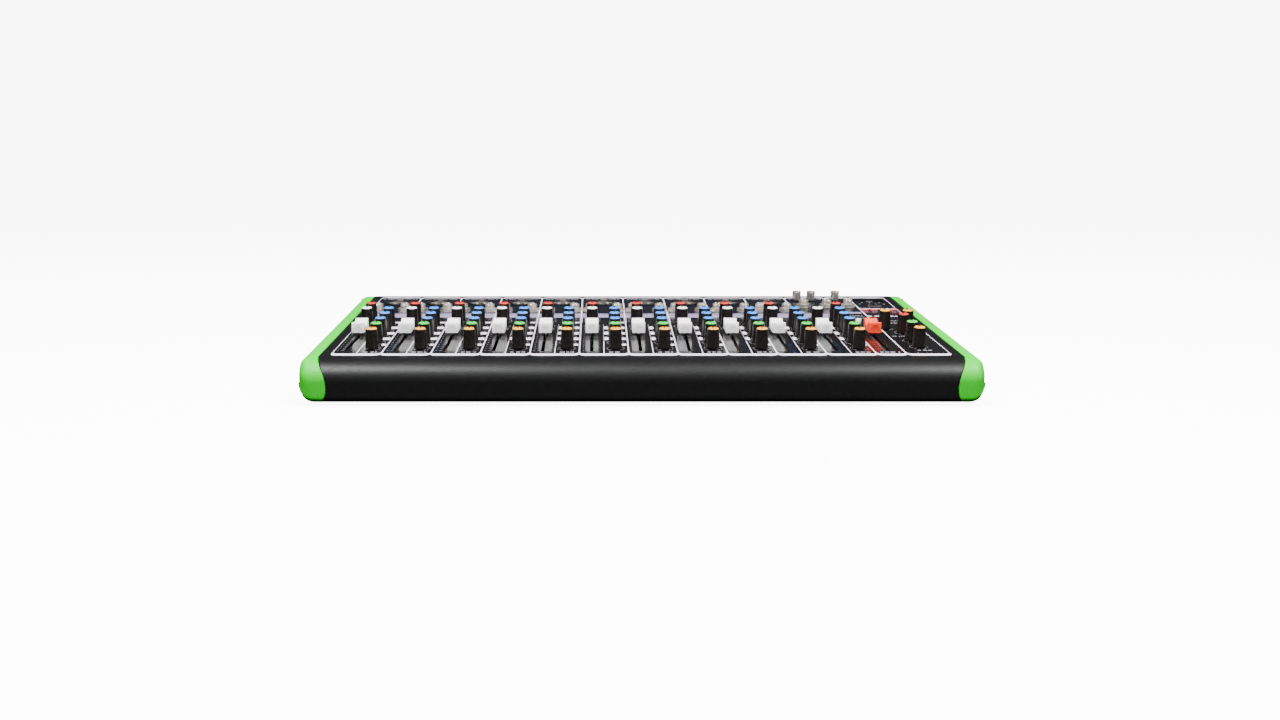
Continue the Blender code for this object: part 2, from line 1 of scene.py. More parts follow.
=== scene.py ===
"""Looks of a compact mixing console: shells, printed deck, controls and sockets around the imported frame."""

import json
import logging
import math
from collections.abc import Callable, Iterable, Sequence
from dataclasses import dataclass, field
from enum import Enum

import bmesh
import bpy
from mathutils import Matrix, Vector

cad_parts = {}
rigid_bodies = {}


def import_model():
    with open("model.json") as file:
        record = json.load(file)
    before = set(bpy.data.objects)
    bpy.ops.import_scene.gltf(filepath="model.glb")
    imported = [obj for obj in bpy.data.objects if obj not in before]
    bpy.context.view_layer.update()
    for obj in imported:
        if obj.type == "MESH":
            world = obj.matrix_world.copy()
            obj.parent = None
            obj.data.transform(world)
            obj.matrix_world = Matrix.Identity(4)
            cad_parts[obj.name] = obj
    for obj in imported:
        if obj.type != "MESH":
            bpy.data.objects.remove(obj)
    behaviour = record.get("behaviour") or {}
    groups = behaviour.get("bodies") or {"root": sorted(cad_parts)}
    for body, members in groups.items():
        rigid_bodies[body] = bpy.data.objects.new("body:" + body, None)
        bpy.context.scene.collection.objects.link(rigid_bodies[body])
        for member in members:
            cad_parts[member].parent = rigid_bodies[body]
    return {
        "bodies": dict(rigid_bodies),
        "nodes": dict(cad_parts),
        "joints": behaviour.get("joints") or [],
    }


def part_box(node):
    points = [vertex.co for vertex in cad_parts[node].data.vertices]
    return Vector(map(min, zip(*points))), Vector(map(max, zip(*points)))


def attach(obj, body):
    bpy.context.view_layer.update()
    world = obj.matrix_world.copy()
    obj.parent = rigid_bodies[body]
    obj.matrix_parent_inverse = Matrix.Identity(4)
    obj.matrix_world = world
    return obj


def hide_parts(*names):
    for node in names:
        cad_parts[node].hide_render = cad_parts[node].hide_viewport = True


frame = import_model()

logging.basicConfig(level=logging.INFO, format="%(message)s")
LOG = logging.getLogger("console")

MM = 0.001
ROOT = "root"
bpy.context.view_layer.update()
Colour = tuple[float, float, float]


def srgb(red: int, green: int, blue: int) -> Colour:
    """Linear colour of 8-bit display values.

    Args:
        red: Red, 0 to 255.
        green: Green, 0 to 255.
        blue: Blue, 0 to 255.

    Returns:
        The colour as three linear numbers.
    """
    def straight(value: int) -> float:
        share = value / 255
        return share / 12.92 if share <= 0.04045 else ((share + 0.055) / 1.055) ** 2.4
    return straight(red), straight(green), straight(blue)


# ---------------------------------------------------------------- finishes
class Nodes:
    """Short names for the few shader nodes that the finishes use."""

    def __init__(self, name: str) -> None:
        """Starts a material with a Principled shader."""
        self.material = bpy.data.materials.new(name)
        self.material.use_nodes = True
        self.tree = self.material.node_tree
        self.shader = self.tree.nodes["Principled BSDF"]
        self.where = self.add("ShaderNodeTexCoord").outputs["Object"]

    def add(self, kind: str, **values: object) -> bpy.types.Node:
        """Adds a node and sets its inputs.

        Args:
            kind: The node's type.
            values: Input names, with _ for a space, and what they are set or linked to.

        Returns:
            The node.
        """
        node = self.tree.nodes.new(kind)
        for name, value in values.items():
            self.put(node.inputs[name.replace("_", " ")], value)
        return node

    def put(self, socket: bpy.types.NodeSocket, value: object) -> None:
        """Links an output to the socket, or sets a plain value on it."""
        if isinstance(value, bpy.types.NodeSocket):
            self.tree.links.new(value, socket)
        else:
            socket.default_value = value

    def stretched(self, scale: Sequence[float]) -> bpy.types.NodeSocket:
        """Object coordinates stretched by `scale`."""
        return self.add("ShaderNodeMapping", Vector=self.where, Scale=tuple(scale)).outputs["Vector"]

    def noise(self, size: float, detail: float = 2.0, where: object = None) -> bpy.types.NodeSocket:
        """A noise whose blotches are about `size` metres."""
        node = self.add("ShaderNodeTexNoise", Vector=where or self.where, Scale=1 / size, Detail=detail)
        return node.outputs["Fac"]

    def spread(self, value: object, low: float, high: float, start: float = 0.3,
               end: float = 0.7) -> bpy.types.NodeSocket:
        """Maps start..end of a value to low..high."""
        node = self.add("ShaderNodeMapRange", Value=value, From_Min=start, From_Max=end, To_Min=low, To_Max=high)
        return node.outputs["Result"]

    def blend(self, share: object, first: Colour, second: Colour) -> bpy.types.NodeSocket:
        """Mixes two colours by a share."""
        node = self.tree.nodes.new("ShaderNodeMix")
        node.data_type = "RGBA"
        self.put(node.inputs[0], share)
        self.put(node.inputs[6], first if isinstance(first, bpy.types.NodeSocket) else (*first, 1))
        self.put(node.inputs[7], second if isinstance(second, bpy.types.NodeSocket) else (*second, 1))
        return node.outputs[2]

    def relief(self, height: object, depth: float) -> None:
        """Bumps the surface by a height field, `depth` metres deep."""
        bump = self.add("ShaderNodeBump", Height=height, Distance=depth)
        self.put(self.shader.inputs["Normal"], bump.outputs["Normal"])

    def shade(self, **values: object) -> None:
        """Sets or links inputs of the shader, named with _ for a space."""
        for name, value in values.items():
            if isinstance(value, tuple) and len(value) == 3:
                value = (*value, 1)
            self.put(self.shader.inputs[name.replace("_", " ")], value)


@dataclass(frozen=True)
class Finish:
    """A moulded or coated surface: its colour and gloss wander a little, over a fine grain.

    Attributes:
        name: The material's name.
        colour: Linear base colour.
        rough: Roughness at the middle of its range.
        metallic: 1 for bare metal.
        coat: Weight of the clear coat.
        grain: Size of the grain, in metres.
        depth: Depth of the grain, in metres.
        wander: Share by which the colour wanders.
        specular: Strength of the plain reflection.
        through: Share of the light that passes a little way through the material.
    """

    name: str
    colour: Colour
    rough: float = 0.4
    metallic: float = 0.0
    coat: float = 0.0
    grain: float = 0.35 * MM
    depth: float = 0.012 * MM
    wander: float = 0.12
    specular: float = 0.5
    through: float = 0.0

    def build(self) -> bpy.types.Material:
        """Makes the material, once."""
        made = bpy.data.materials.get(self.name)
        if made:
            return made
        nodes = Nodes(self.name)
        nodes.shade(Metallic=self.metallic, Coat_Weight=self.coat, Coat_Roughness=0.08,
                    Specular_IOR_Level=self.specular)
        if self.through:
            nodes.shade(Subsurface_Weight=self.through, Subsurface_Scale=5 * MM)
            nodes.shader.inputs["Subsurface Radius"].default_value = (1, 1, 1)
        self.paint(nodes)
        return nodes.material

    def paint(self, nodes: Nodes) -> None:
        """Links colour, roughness and relief."""
        dark = tuple(channel * (1 - self.wander) for channel in self.colour)
        light = tuple(min(1.0, channel * (1 + self.wander)) for channel in self.colour)
        broad, fine = nodes.noise(14 * MM, 3), nodes.noise(self.grain, 2)
        nodes.shade(Base_Color=nodes.blend(broad, dark, light),
                    Roughness=nodes.spread(nodes.noise(3 * MM, 4), self.rough * 0.88, self.rough * 1.12))
        nodes.relief(fine, self.depth)


@dataclass(frozen=True)
class BrushedMetal(Finish):
    """Plated or turned metal with fine tool marks."""

    marks: tuple[float, float, float] = (1, 1, 12)

    def paint(self, nodes: Nodes) -> None:
        """Adds marks stretched across the turning direction."""
        marks = nodes.noise(0.9 * MM, 3, nodes.stretched(self.marks))
        tint = nodes.blend(nodes.noise(4 * MM, 3), tuple(c * 0.8 for c in self.colour), self.colour)
        nodes.shade(Base_Color=tint, Roughness=nodes.spread(marks, self.rough * 0.6, self.rough * 1.5))
        nodes.relief(marks, self.depth)


@dataclass(frozen=True)
class CircuitLaminate(Finish):
    """Solder-masked laminate with faint copper tracks."""

    def paint(self, nodes: Nodes) -> None:
        """Draws faint stepped tracks from a fine brick pattern."""
        node = nodes.add("ShaderNodeTexBrick", Vector=nodes.stretched((260, 260, 260)))
        lighter = tuple(min(1.0, channel * 2.2 + 0.01) for channel in self.colour)
        nodes.shade(Base_Color=nodes.blend(node.outputs["Fac"], self.colour, lighter),
                    Roughness=nodes.spread(nodes.noise(2 * MM), 0.3, 0.5))
        nodes.relief(node.outputs["Fac"], 0.03 * MM)


POWDER_COAT = Finish("powder_coat", (0.0035, 0.0035, 0.0038), rough=0.43, grain=0.5 * MM, depth=0.014 * MM)
PAN_COAT = Finish("pan_coat", (0.012, 0.012, 0.0125), rough=0.55, grain=0.5 * MM, depth=0.03 * MM)
STRIP_FILM = Finish("strip_film", (0.0045, 0.004, 0.0045), rough=0.2, grain=0.8 * MM, depth=0.004 * MM, coat=0.3)
REAR_FILM = Finish("rear_film", (0.0035, 0.0045, 0.009), rough=0.24, grain=0.8 * MM, depth=0.004 * MM, coat=0.2)
PRINT_WHITE = Finish("print_white", (0.70, 0.66, 0.74), rough=0.5, grain=0.3 * MM, depth=0.004 * MM, wander=0.05)
PRINT_LILAC = Finish("print_lilac", (0.22, 0.19, 0.30), rough=0.5, grain=0.3 * MM, depth=0.004 * MM, wander=0.1)
PRINT_GREY = Finish("print_grey", (0.21, 0.20, 0.22), rough=0.5, grain=0.3 * MM, depth=0.004 * MM, wander=0.1)
CHEEK_GREEN = Finish("cheek_green", (0.010, 0.53, 0.010), rough=0.42, grain=0.6 * MM, depth=0.008 * MM,
                     wander=0.05, specular=0.3)
KNOB_BLACK = Finish("knob_black", (0.006, 0.0052, 0.0045), rough=0.3, grain=0.25 * MM, depth=0.01 * MM)
FADER_WHITE = Finish("fader_white", (0.95, 0.94, 0.91), rough=0.42, grain=0.3 * MM, depth=0.006 * MM, wander=0.02,
                     through=0.7)
FADER_RED = Finish("fader_red", (0.82, 0.045, 0.008), rough=0.38, grain=0.3 * MM, depth=0.006 * MM, wander=0.1)
BLADE_BLACK = Finish("blade_black", (0.01, 0.01, 0.01), rough=0.5)
NICKEL = BrushedMetal("nickel_plate", (0.92, 0.86, 0.78), rough=0.3, metallic=0.9, depth=0.006 * MM)
CONTACT_GOLD = BrushedMetal("contact_gold", (0.88, 0.74, 0.52), rough=0.25, metallic=1.0, depth=0.004 * MM)
ZINC = BrushedMetal("zinc_plate", (0.52, 0.53, 0.54), rough=0.34, metallic=1.0, marks=(1, 14, 1))
SOCKET_BLACK = Finish("socket_black", (0.007, 0.007, 0.008), rough=0.38, grain=0.3 * MM, depth=0.012 * MM)
LAMINATE = CircuitLaminate("circuit_laminate", (0.012, 0.075, 0.03), rough=0.4)
RUBBER = Finish("foot_rubber_black", (0.014, 0.014, 0.014), rough=0.85, grain=0.5 * MM, depth=0.04 * MM)
WINDOW = Finish("smoked_window", (0.003, 0.003, 0.006), rough=0.1, coat=0.6, depth=0.001 * MM)
KEY_PINK = Finish("key_pink", (0.72, 0.13, 0.15), rough=0.32, coat=0.4, grain=0.4 * MM, depth=0.006 * MM)
KEY_WHITE = Finish("key_white", (0.86, 0.84, 0.83), rough=0.32, coat=0.3, grain=0.4 * MM, depth=0.006 * MM)


class CapTone(Enum):
    """Colours of the knobs' inserts."""

    ORANGE = Finish("cap_orange", (0.78, 0.34, 0.03), rough=0.35, coat=0.2, depth=0.006 * MM)
    GREEN = Finish("cap_green", (0.03, 0.56, 0.05), rough=0.35, coat=0.2, depth=0.006 * MM)
    BLUE = Finish("cap_blue", (0.035, 0.20, 0.66), rough=0.35, coat=0.2, depth=0.006 * MM)
    WHITE = Finish("cap_white", (0.88, 0.87, 0.85), rough=0.35, coat=0.2, depth=0.006 * MM)
    RED = Finish("cap_red", (0.42, 0.03, 0.02), rough=0.35, coat=0.2, depth=0.006 * MM)


# ---------------------------------------------------------------- mesh work
def add_box(bm: bmesh.types.BMesh, low: Sequence[float], high: Sequence[float], soften: float = 0.0,
            index: int = 0, place: Matrix | None = None) -> None:
    """Adds a box, with softened edges where asked.

    Args:
        bm: The mesh it goes into.
        low: Lowest corner.
        high: Highest corner.
        soften: Bevel width, or 0.
        index: Material index.
        place: Where the box goes, if not where it is given.
    """
    low, high = Vector(low), Vector(high)
    size = Matrix.Diagonal((*(high - low), 1.0))
    new = bmesh.new()
    bmesh.ops.create_cube(new, size=1.0, matrix=Matrix.Translation((low + high) / 2) @ size)
    if soften:
        bmesh.ops.bevel(new, geom=new.edges, offset=soften, segments=2, profile=0.5, affect="EDGES", material=-1)
    pour(new, bm, index, place)


def pour(new: bmesh.types.BMesh, bm: bmesh.types.BMesh, index: int | None = None,
         place: Matrix | None = None) -> None:
    """Moves everything of one mesh into another.

    Args:
        new: The mesh that is used up.
        bm: The mesh it goes into.
        index: Material index for all its faces, or None to keep their own.
        place: Transform on the way.
    """
    if index is not None:
        for face in new.faces:
            face.material_index = index
    mesh = bpy.data.meshes.new("poured")
    new.to_mesh(mesh)
    new.free()
    if place is not None:
        mesh.transform(place)
        if place.determinant() < 0:
            mesh.flip_normals()
    bm.from_mesh(mesh)
    bpy.data.meshes.remove(mesh)


def add_turned(bm: bmesh.types.BMesh, profile: Sequence[tuple[float, float]], segments: int = 32,
               index: int = 0, place: Matrix | None = None,
               shape: Callable[[bmesh.types.BMesh], None] | None = None) -> None:
    """Turns a profile of (radius, height) points about Z.

    Args:
        bm: The mesh it goes into.
        profile: Points in metres; its ends lie on the axis, or it closes on itself.
        segments: Steps round the axis.
        index: Material index.
        place: Where the turned piece goes.
        shape: Further work on the new mesh before it is placed.
    """
    new = bmesh.new()
    verts = [new.verts.new((radius, 0, height)) for radius, height in profile]
    edges = [new.edges.new(pair) for pair in zip(verts, verts[1:])]
    if profile[0][0] > 0:
        edges.append(new.edges.new((verts[-1], verts[0])))
    bmesh.ops.spin(new, geom=verts + edges, cent=(0, 0, 0), axis=(0, 0, 1), angle=2 * math.pi,
                   steps=segments, use_merge=True)
    bmesh.ops.remove_doubles(new, verts=new.verts, dist=1e-6)
    bmesh.ops.recalc_face_normals(new, faces=new.faces)
    if new.calc_volume(signed=True) < 0:
        bmesh.ops.reverse_faces(new, faces=new.faces)
    if shape:
        shape(new)
    pour(new, bm, index, place)


def add_slab(bm: bmesh.types.BMesh, outline: Sequence[tuple[float, float]], low: float, high: float,
             index: int = 0, place: Matrix | None = None) -> None:
    """Extrudes a closed outline of (x, y) points from one height to another.

    Args:
        bm: The mesh it goes into.
        outline: The corners in order.
        low: Height of the underside.
        high: Height of the top.
        index: Material index.
        place: Where the slab goes.
    """
    new = bmesh.new()
    face = new.faces.new([new.verts.new((x, y, low)) for x, y in outline])
    made = bmesh.ops.extrude_face_region(new, geom=[face])["geom"]
    bmesh.ops.translate(new, vec=(0, 0, high - low), verts=[v for v in made if isinstance(v, bmesh.types.BMVert)])
    bmesh.ops.recalc_face_normals(new, faces=new.faces)
    pour(new, bm, index, place)


def rounded(low: tuple[float, float], high: tuple[float, float], radius: float,
            steps: int = 5) -> list[tuple[float, float]]:
    """Corners of a rectangle with rounded corners, anticlockwise.

    Args:
        low: Lowest corner.
        high: Highest corner.
        radius: Corner radius.
        steps: Steps in each corner.

    Returns:
        The points.
    """
    points = []
    centres = ((high[0] - radius, high[1] - radius, 0), (low[0] + radius, high[1] - radius, 90),
               (low[0] + radius, low[1] + radius, 180), (high[0] - radius, low[1] + radius, 270))
    for x, y, start in centres:
        for i in range(steps + 1):
            angle = math.radians(start + 90 * i / steps)
            points.append((x + radius * math.cos(angle), y + radius * math.sin(angle)))
    return points


def add_ring(bm: bmesh.types.BMesh, outer: Sequence[tuple[float, float]], inner: Sequence[tuple[float, float]],
             low: float, high: float, index: int = 0) -> None:
    """A flat frame between two outlines with the same number of points.

    Args:
        bm: The mesh it goes into.
        outer: Outer outline.
        inner: Inner outline.
        low: Height of the underside.
        high: Height of the top.
        index: Material index.
    """
    new = bmesh.new()
    loops = []
    for outline in (outer, inner):
        verts = [new.verts.new((x, y, low)) for x, y in outline]
        loops += [new.edges.new((verts[i - 1], verts[i])) for i in range(len(verts))]
    faces = bmesh.ops.bridge_loops(new, edges=loops)["faces"]
    made = bmesh.ops.extrude_face_region(new, geom=faces)["geom"]
    bmesh.ops.translate(new, vec=(0, 0, high - low), verts=[v for v in made if isinstance(v, bmesh.types.BMVert)])
    bmesh.ops.recalc_face_normals(new, faces=new.faces)
    pour(new, bm, index)


def cut(obj: bpy.types.Object, cutter: bmesh.types.BMesh, operation: str = "DIFFERENCE") -> None:
    """Applies a Boolean with a cutter that is then thrown away.

    Args:
        obj: The object that is cut.
        cutter: The cutter's mesh, in world coordinates.
        operation: DIFFERENCE or UNION.
    """
    mesh = bpy.data.meshes.new("cutter")
    cutter.to_mesh(mesh)
    cutter.free()
    tool = bpy.data.objects.new("cutter", mesh)
    bpy.context.scene.collection.objects.link(tool)
    boolean = obj.modifiers.new("cut", "BOOLEAN")
    boolean.operation, boolean.solver, boolean.object = operation, "EXACT", tool
    bpy.context.view_layer.update()
    result = bpy.data.meshes.new_from_object(obj.evaluated_get(bpy.context.evaluated_depsgraph_get()))
    obj.modifiers.clear()
    old, obj.data = obj.data, result
    result.name = obj.name
    bpy.data.meshes.remove(old)
    bpy.data.objects.remove(tool)
    bpy.data.meshes.remove(mesh)


def make(bm: bmesh.types.BMesh, name: str, finishes: Sequence[Finish], sharp: float = 32.0) -> bpy.types.Object:
    """Turns a mesh into an object at the origin.

    Args:
        bm: The mesh, in world coordinates.
        name: The piece's name.
        finishes: Its finishes, in the order of the material indices.
        sharp: Edges sharper than this angle stay sharp, in degrees.

    Returns:
        The object.
    """
    mesh = bpy.data.meshes.new(name)
    bm.to_mesh(mesh)
    bm.free()
    for finish in finishes:
        mesh.materials.append(finish.build())
    mesh.shade_smooth()
    mesh.set_sharp_from_angle(angle=math.radians(sharp))
    obj = bpy.data.objects.new(name, mesh)
    bpy.context.scene.collection.objects.link(obj)
    return obj


def settle(obj: bpy.types.Object, body: str = ROOT, stands_for: Iterable[str] = ()) -> None:
    """Makes the piece ride on its body, and hides the nodes that it stands for.

    Args:
        obj: The piece.
        body: The body it moves with.
        stands_for: The nodes that it replaces.
    """
    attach(obj, body)
    nodes = list(stands_for)
    if nodes:
        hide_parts(*nodes)
    LOG.info("%s: %d faces on %s", obj.name, len(obj.data.polygons), body)


def joint(name: str) -> dict:
    """The frame's joint of this name."""
    return next(found for found in frame["joints"] if found["name"] == name)


# ---------------------------------------------------------------- the sloping deck
RIGHT_COLUMN, LEFT_COLUMN = 0.74, 0.25   # the two columns of controls in a strip, in pitches
LEVEL_ROW = 23.6 * MM
KNOB_ROWS = (47 * MM, 70 * MM, 93.5 * MM, 116.5 * MM)
SHEET = 2 * MM
PRINT_LOW = -0.02 * MM
FILM_TOP = 0.12 * MM
INK_TOP = 0.17 * MM


@dataclass(frozen=True)
class Deck:
    """The panel's own frame: x across, y up the slope from the front border line, z out of it.

    Attributes:
        pitch: Width of one channel strip.
        left: x of the first strip's left line.
        place: From the deck's frame to the world.
        channels: How many strips there are.
    """

    pitch: float
    left: float
    place: Matrix
    channels: int

    @classmethod
    def from_frame(cls) -> "Deck":
        """Works the deck out from the knobs' and faders' joints."""
        first, second = (joint(f"level_knob_{number:02d}_turn") for number in (1, 2))
        along = Vector(joint("channel_fader_01_slide")["axis"])
        pitch = second["pos_m"][0] - first["pos_m"][0]
        origin = Vector(first["pos_m"]) - along * LEVEL_ROW
        origin.x = 0
        place = Matrix.Translation(origin) @ Matrix.Rotation(math.atan2(along.z, along.y), 4, "X")
        channels = sum(name.startswith("channel_fader") for name in frame["bodies"])
        return cls(pitch, first["pos_m"][0] - RIGHT_COLUMN * pitch, place, channels)

    def column(self, u: float) -> float:
        """x of a column given in pitches from the first strip's left line."""
        return self.left + u * self.pitch

    def columns(self, share: float, count: int | None = None) -> list[float]:
        """x of one column in each strip."""
        return [self.column(strip + share) for strip in range(self.channels if count is None else count)]

    def spot(self, x: float, y: float, z: float = 0.0) -> Matrix:
        """A place on the deck, in the deck's own frame."""
        return Matrix.Translation((x, y, z))

    def where(self, body: str) -> tuple[float, float]:
        """(x, y) on the deck of a turning control's axis."""
        point = self.place.inverted() @ Vector(joint(f"{body}_turn")["pos_m"])
        return point.x, point.y

    def middle(self, node: str) -> tuple[float, float]:
        """(x, y) on the deck of the middle of a node's box."""
        low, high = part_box(node)
        point = self.place.inverted() @ ((Vector(low) + Vector(high)) / 2)
        return point.x, point.y

    def make(self, bm: bmesh.types.BMesh, name: str, finishes: Sequence[Finish],
             sharp: float = 32.0) -> bpy.types.Object:
        """Turns a mesh in the deck's frame into an object at the origin."""
        bmesh.ops.transform(bm, matrix=self.place, verts=bm.verts)
        return make(bm, name, finishes, sharp)


DECK = Deck.from_frame()
MAIN_FADER_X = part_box("main_fader")[0][0] / 2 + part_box("main_fader")[1][0] / 2
MASTER_LEFT, MASTER_RIGHT = DECK.column(11.62), DECK.column(12.49)
JACK_ROW, MIC_ROW, OUTPUT_ROW, PHONO_ROW = 190 * MM, 230 * MM, 212 * MM, 245 * MM
INPUT_JACKS = [(DECK.column(n + share), JACK_ROW) for n in range(DECK.channels - 1) for share in (0.2, 0.83)]
OUTPUT_JACKS = [(DECK.column(u), OUTPUT_ROW) for u in (10.32, 10.87, 11.38)]
MICS = [(DECK.column(n + 0.52), MIC_ROW) for n in range(DECK.channels - 1)]
PHONOS = [(DECK.column(u), PHONO_ROW) for u in (10.27, 10.62, 11.21)]
FADER_XS = DECK.columns(LEFT_COLUMN) + [MAIN_FADER_X]
FIXED_KNOBS = [(x, y, tone) for y, tone in zip(KNOB_ROWS, (CapTone.GREEN, CapTone.BLUE, CapTone.BLUE, CapTone.BLUE))
               for x in DECK.columns(RIGHT_COLUMN)]
FIXED_KNOBS += [(x, KNOB_ROWS[-1], CapTone.WHITE) for x in DECK.columns(LEFT_COLUMN)]
TURNING_KNOBS = {body: DECK.where(body) for body in frame["bodies"] if body.endswith("knob") or "_knob_" in body}
KEYS = {body: DECK.middle(body) for body in frame["bodies"] if body.startswith("player_button")}
SLOT = (12 * MM, 97 * MM, 2.7 * MM)     # front, rear, width
WINDOW_X, WINDOW_Y = (DECK.column(11.69), DECK.column(12.42)), (213 * MM, 250 * MM)


def deck_holes(low: float, high: float, slack: float = 0.0) -> bmesh.types.BMesh:
    """Cutters for every hole of the deck, in the world.

    Args:
        low: Their lower ends, on the deck's z.
        high: Their upper ends.
        slack: How much wider than the sheet's holes they are, for a film or a print.

    Returns:
        The cutters as one mesh.
    """
    bm = bmesh.new()

    def bore(x: float, y: float, radius: float, segments: int) -> None:
        bmesh.ops.create_cone(bm, cap_ends=True, segments=segments, radius1=radius + slack,
                              radius2=radius + slack, depth=high - low,
                              matrix=DECK.spot(x, y, (low + high) / 2))

    for x, y in [(x, y) for x, y, _ in FIXED_KNOBS] + list(TURNING_KNOBS.values()):
        bore(x, y, 3.4 * MM, 24)
    for x, y in INPUT_JACKS + OUTPUT_JACKS:
        bore(x, y, 5.1 * MM, 24)
    for x, y in PHONOS:
        bore(x, y, 5.2 * MM, 24)
    for x, y in MICS:
        bore(x, y, 12.8 * MM, 48)
    bore(*DECK.middle("phantom_button"), 2.9 * MM, 24)
    front, rear, width = SLOT
    for x in FADER_XS:
        add_slab(bm, rounded((x - width / 2 - slack, front - slack), (x + width / 2 + slack, rear + slack),
                             width / 2, 4), low, high)
    for x, y in KEYS.values():
        add_slab(bm, rounded((x - 3.9 * MM - slack, y - 2.6 * MM - slack),
                             (x + 3.9 * MM + slack, y + 2.6 * MM + slack), 0.5 * MM, 2), low, high)
    add_slab(bm, rounded((WINDOW_X[0] - slack, WINDOW_Y[0] - slack), (WINDOW_X[1] + slack, WINDOW_Y[1] + slack),
                         0.6 * MM, 2), low, high)
    bmesh.ops.transform(bm, matrix=DECK.place, verts=bm.verts)
    return bm


# ---------------------------------------------------------------- shells
@dataclass(frozen=True)
class Profile:
    """The side outline that the cover and the cheeks share."""

    half_depth: float = 148 * MM
    half_width: float = 271.5 * MM
    crease: float = 267.8 * MM
    floor: float = 3 * MM
    nose: float = 18 * MM
    toe: float = 4 * MM
    cheek_inner: float = 258.4 * MM
    lip: float = 3.4 * MM
    # The cheek's front edge on the front face, as (height, x) in millimetres, from the bottom up.
    lip_edge: tuple = ((3, 252.8), (8, 250.3), (12, 249.5), (18, 249.8), (24, 251.3), (31, 254.4), (38, 258.0))

    def deck_height(self, y: float, below: float = 0.0) -> float:
        """z of the deck's surface, or of a plane `below` it, at y."""
        start, slope = DECK.place.translation, DECK.place.to_euler().x
        return start.z + (y - start.y) * math.tan(slope) - below / math.cos(slope)

    def arc(self, centre: tuple[float, float], radius: float, start: float, end: float,
            steps: int) -> list[tuple[float, float]]:
        """Points on an arc in the side view, with angles in degrees."""
        angles = [math.radians(start + (end - start) * i / steps) for i in range(steps + 1)]
        return [(centre[0] + radius * math.cos(a), centre[1] + radius * math.sin(a)) for a in angles]

    def front(self, inset: float) -> list[tuple[float, float]]:
        """(y, z) round the toe, up the front face and round the nose to the deck."""
        toe = (self.toe - self.half_depth, self.floor + self.toe)
        nose_y = self.nose - self.half_depth
        nose = (nose_y, self.deck_height(nose_y, self.nose))
        slope = math.degrees(DECK.place.to_euler().x)
        face = []
        low, high = toe[1], nose[1]
        for i in range(1, 8):
            face.append((inset - self.half_depth, low + (high - low) * i / 8))
        return (self.arc(toe, self.toe - inset, 270, 180, 8) + face
                + self.arc(nose, self.nose - inset, 180, 90 + slope, 24))

    def lip_x(self, z: float) -> float:
        """The lip's edge at height z, on a smooth curve through its points."""
        points = [(height * MM, x * MM) for height, x in self.lip_edge]
        z = min(max(z, points[0][0]), points[-1][0])
        for i, ((low, low_x), (high, high_x)) in enumerate(zip(points, points[1:])):
            if z <= high:
                before = points[max(i - 1, 0)]
                after = points[min(i + 2, len(points) - 1)]
                start = (high_x - before[1]) / (high - before[0]) * (high - low)
                end = (after[1] - low_x) / (after[0] - low) * (high - low)
                t = (z - low) / (high - low)
                return ((2 * t ** 3 - 3 * t ** 2 + 1) * low_x + (t ** 3 - 2 * t ** 2 + t) * start
                        + (3 * t ** 2 - 2 * t ** 3) * high_x + (t ** 3 - t ** 2) * end)
        return points[-1][1]

    def drop(self, x: float, start: float, depth: float) -> float:
        """How far a round that begins at `start` has fallen away at x, with a soft crease on the way."""
        share = max(0.0, (x - start) / (self.half_width - start))
        past = max(0.0, x - self.crease) * max(0.0, self.half_width - x) / (self.half_width - self.crease)
        return depth * (1 - math.sqrt(max(0.0, 1 - share * share))) + 0.45 * past

    def cheek_ring(self, x: float) -> list[tuple[float, float]]:
        """The cheek's side outline at a distance x from the middle."""
        rear, top = self.half_depth, self.deck_height(self.half_depth)
        outline = self.front(0) + self.arc((rear - 2 * MM, top - 2.1 * MM), 2 * MM, 90, 0, 4)
        outline += self.arc((rear - 2 * MM, self.floor + 2 * MM), 2 * MM, 0, -90, 4)
        reach = 24 * MM
        ring = []
        for i, (y, z) in enumerate(outline):
            before, after = outline[i - 1], outline[(i + 1) % len(outline)]
            along = Vector((after[0] - before[0], after[1] - before[1])).normalized()
            inward = Vector((along.y, -along.x))
            facing_front = max(0.0, inward.x) ** 2
            crown, front = self.drop(x, 264.5 * MM, 4.5 * MM), self.drop(x, 261 * MM, 8 * MM)
            y, z = Vector((y, z)) + inward * (crown + (front - crown) * facing_front)
            if z < self.floor + reach:
                z += self.drop(x, 259 * MM, 13 * MM) * (1 - (z - self.floor) / reach)
            ring.append((y, z))
        return ring


PROFILE = Profile()


def add_chain(bm: bmesh.types.BMesh, points: Sequence[Sequence[float]], closed: bool) -> list[bmesh.types.BMEdge]:
    """A row of edges through points."""
    verts = [bm.verts.new(point) for point in points]
    pairs = list(zip(verts, verts[1:]))
    if closed:
        pairs.append((verts[-1], verts[0]))
    return [bm.edges.new(pair) for pair in pairs]


def face_outwards(bm: bmesh.types.BMesh) -> None:
    """Turns every face of a closed mesh outwards."""
    bmesh.ops.recalc_face_normals(bm, faces=bm.faces)
    if bm.calc_volume(signed=True) < 0:
        bmesh.ops.reverse_faces(bm, faces=bm.faces)


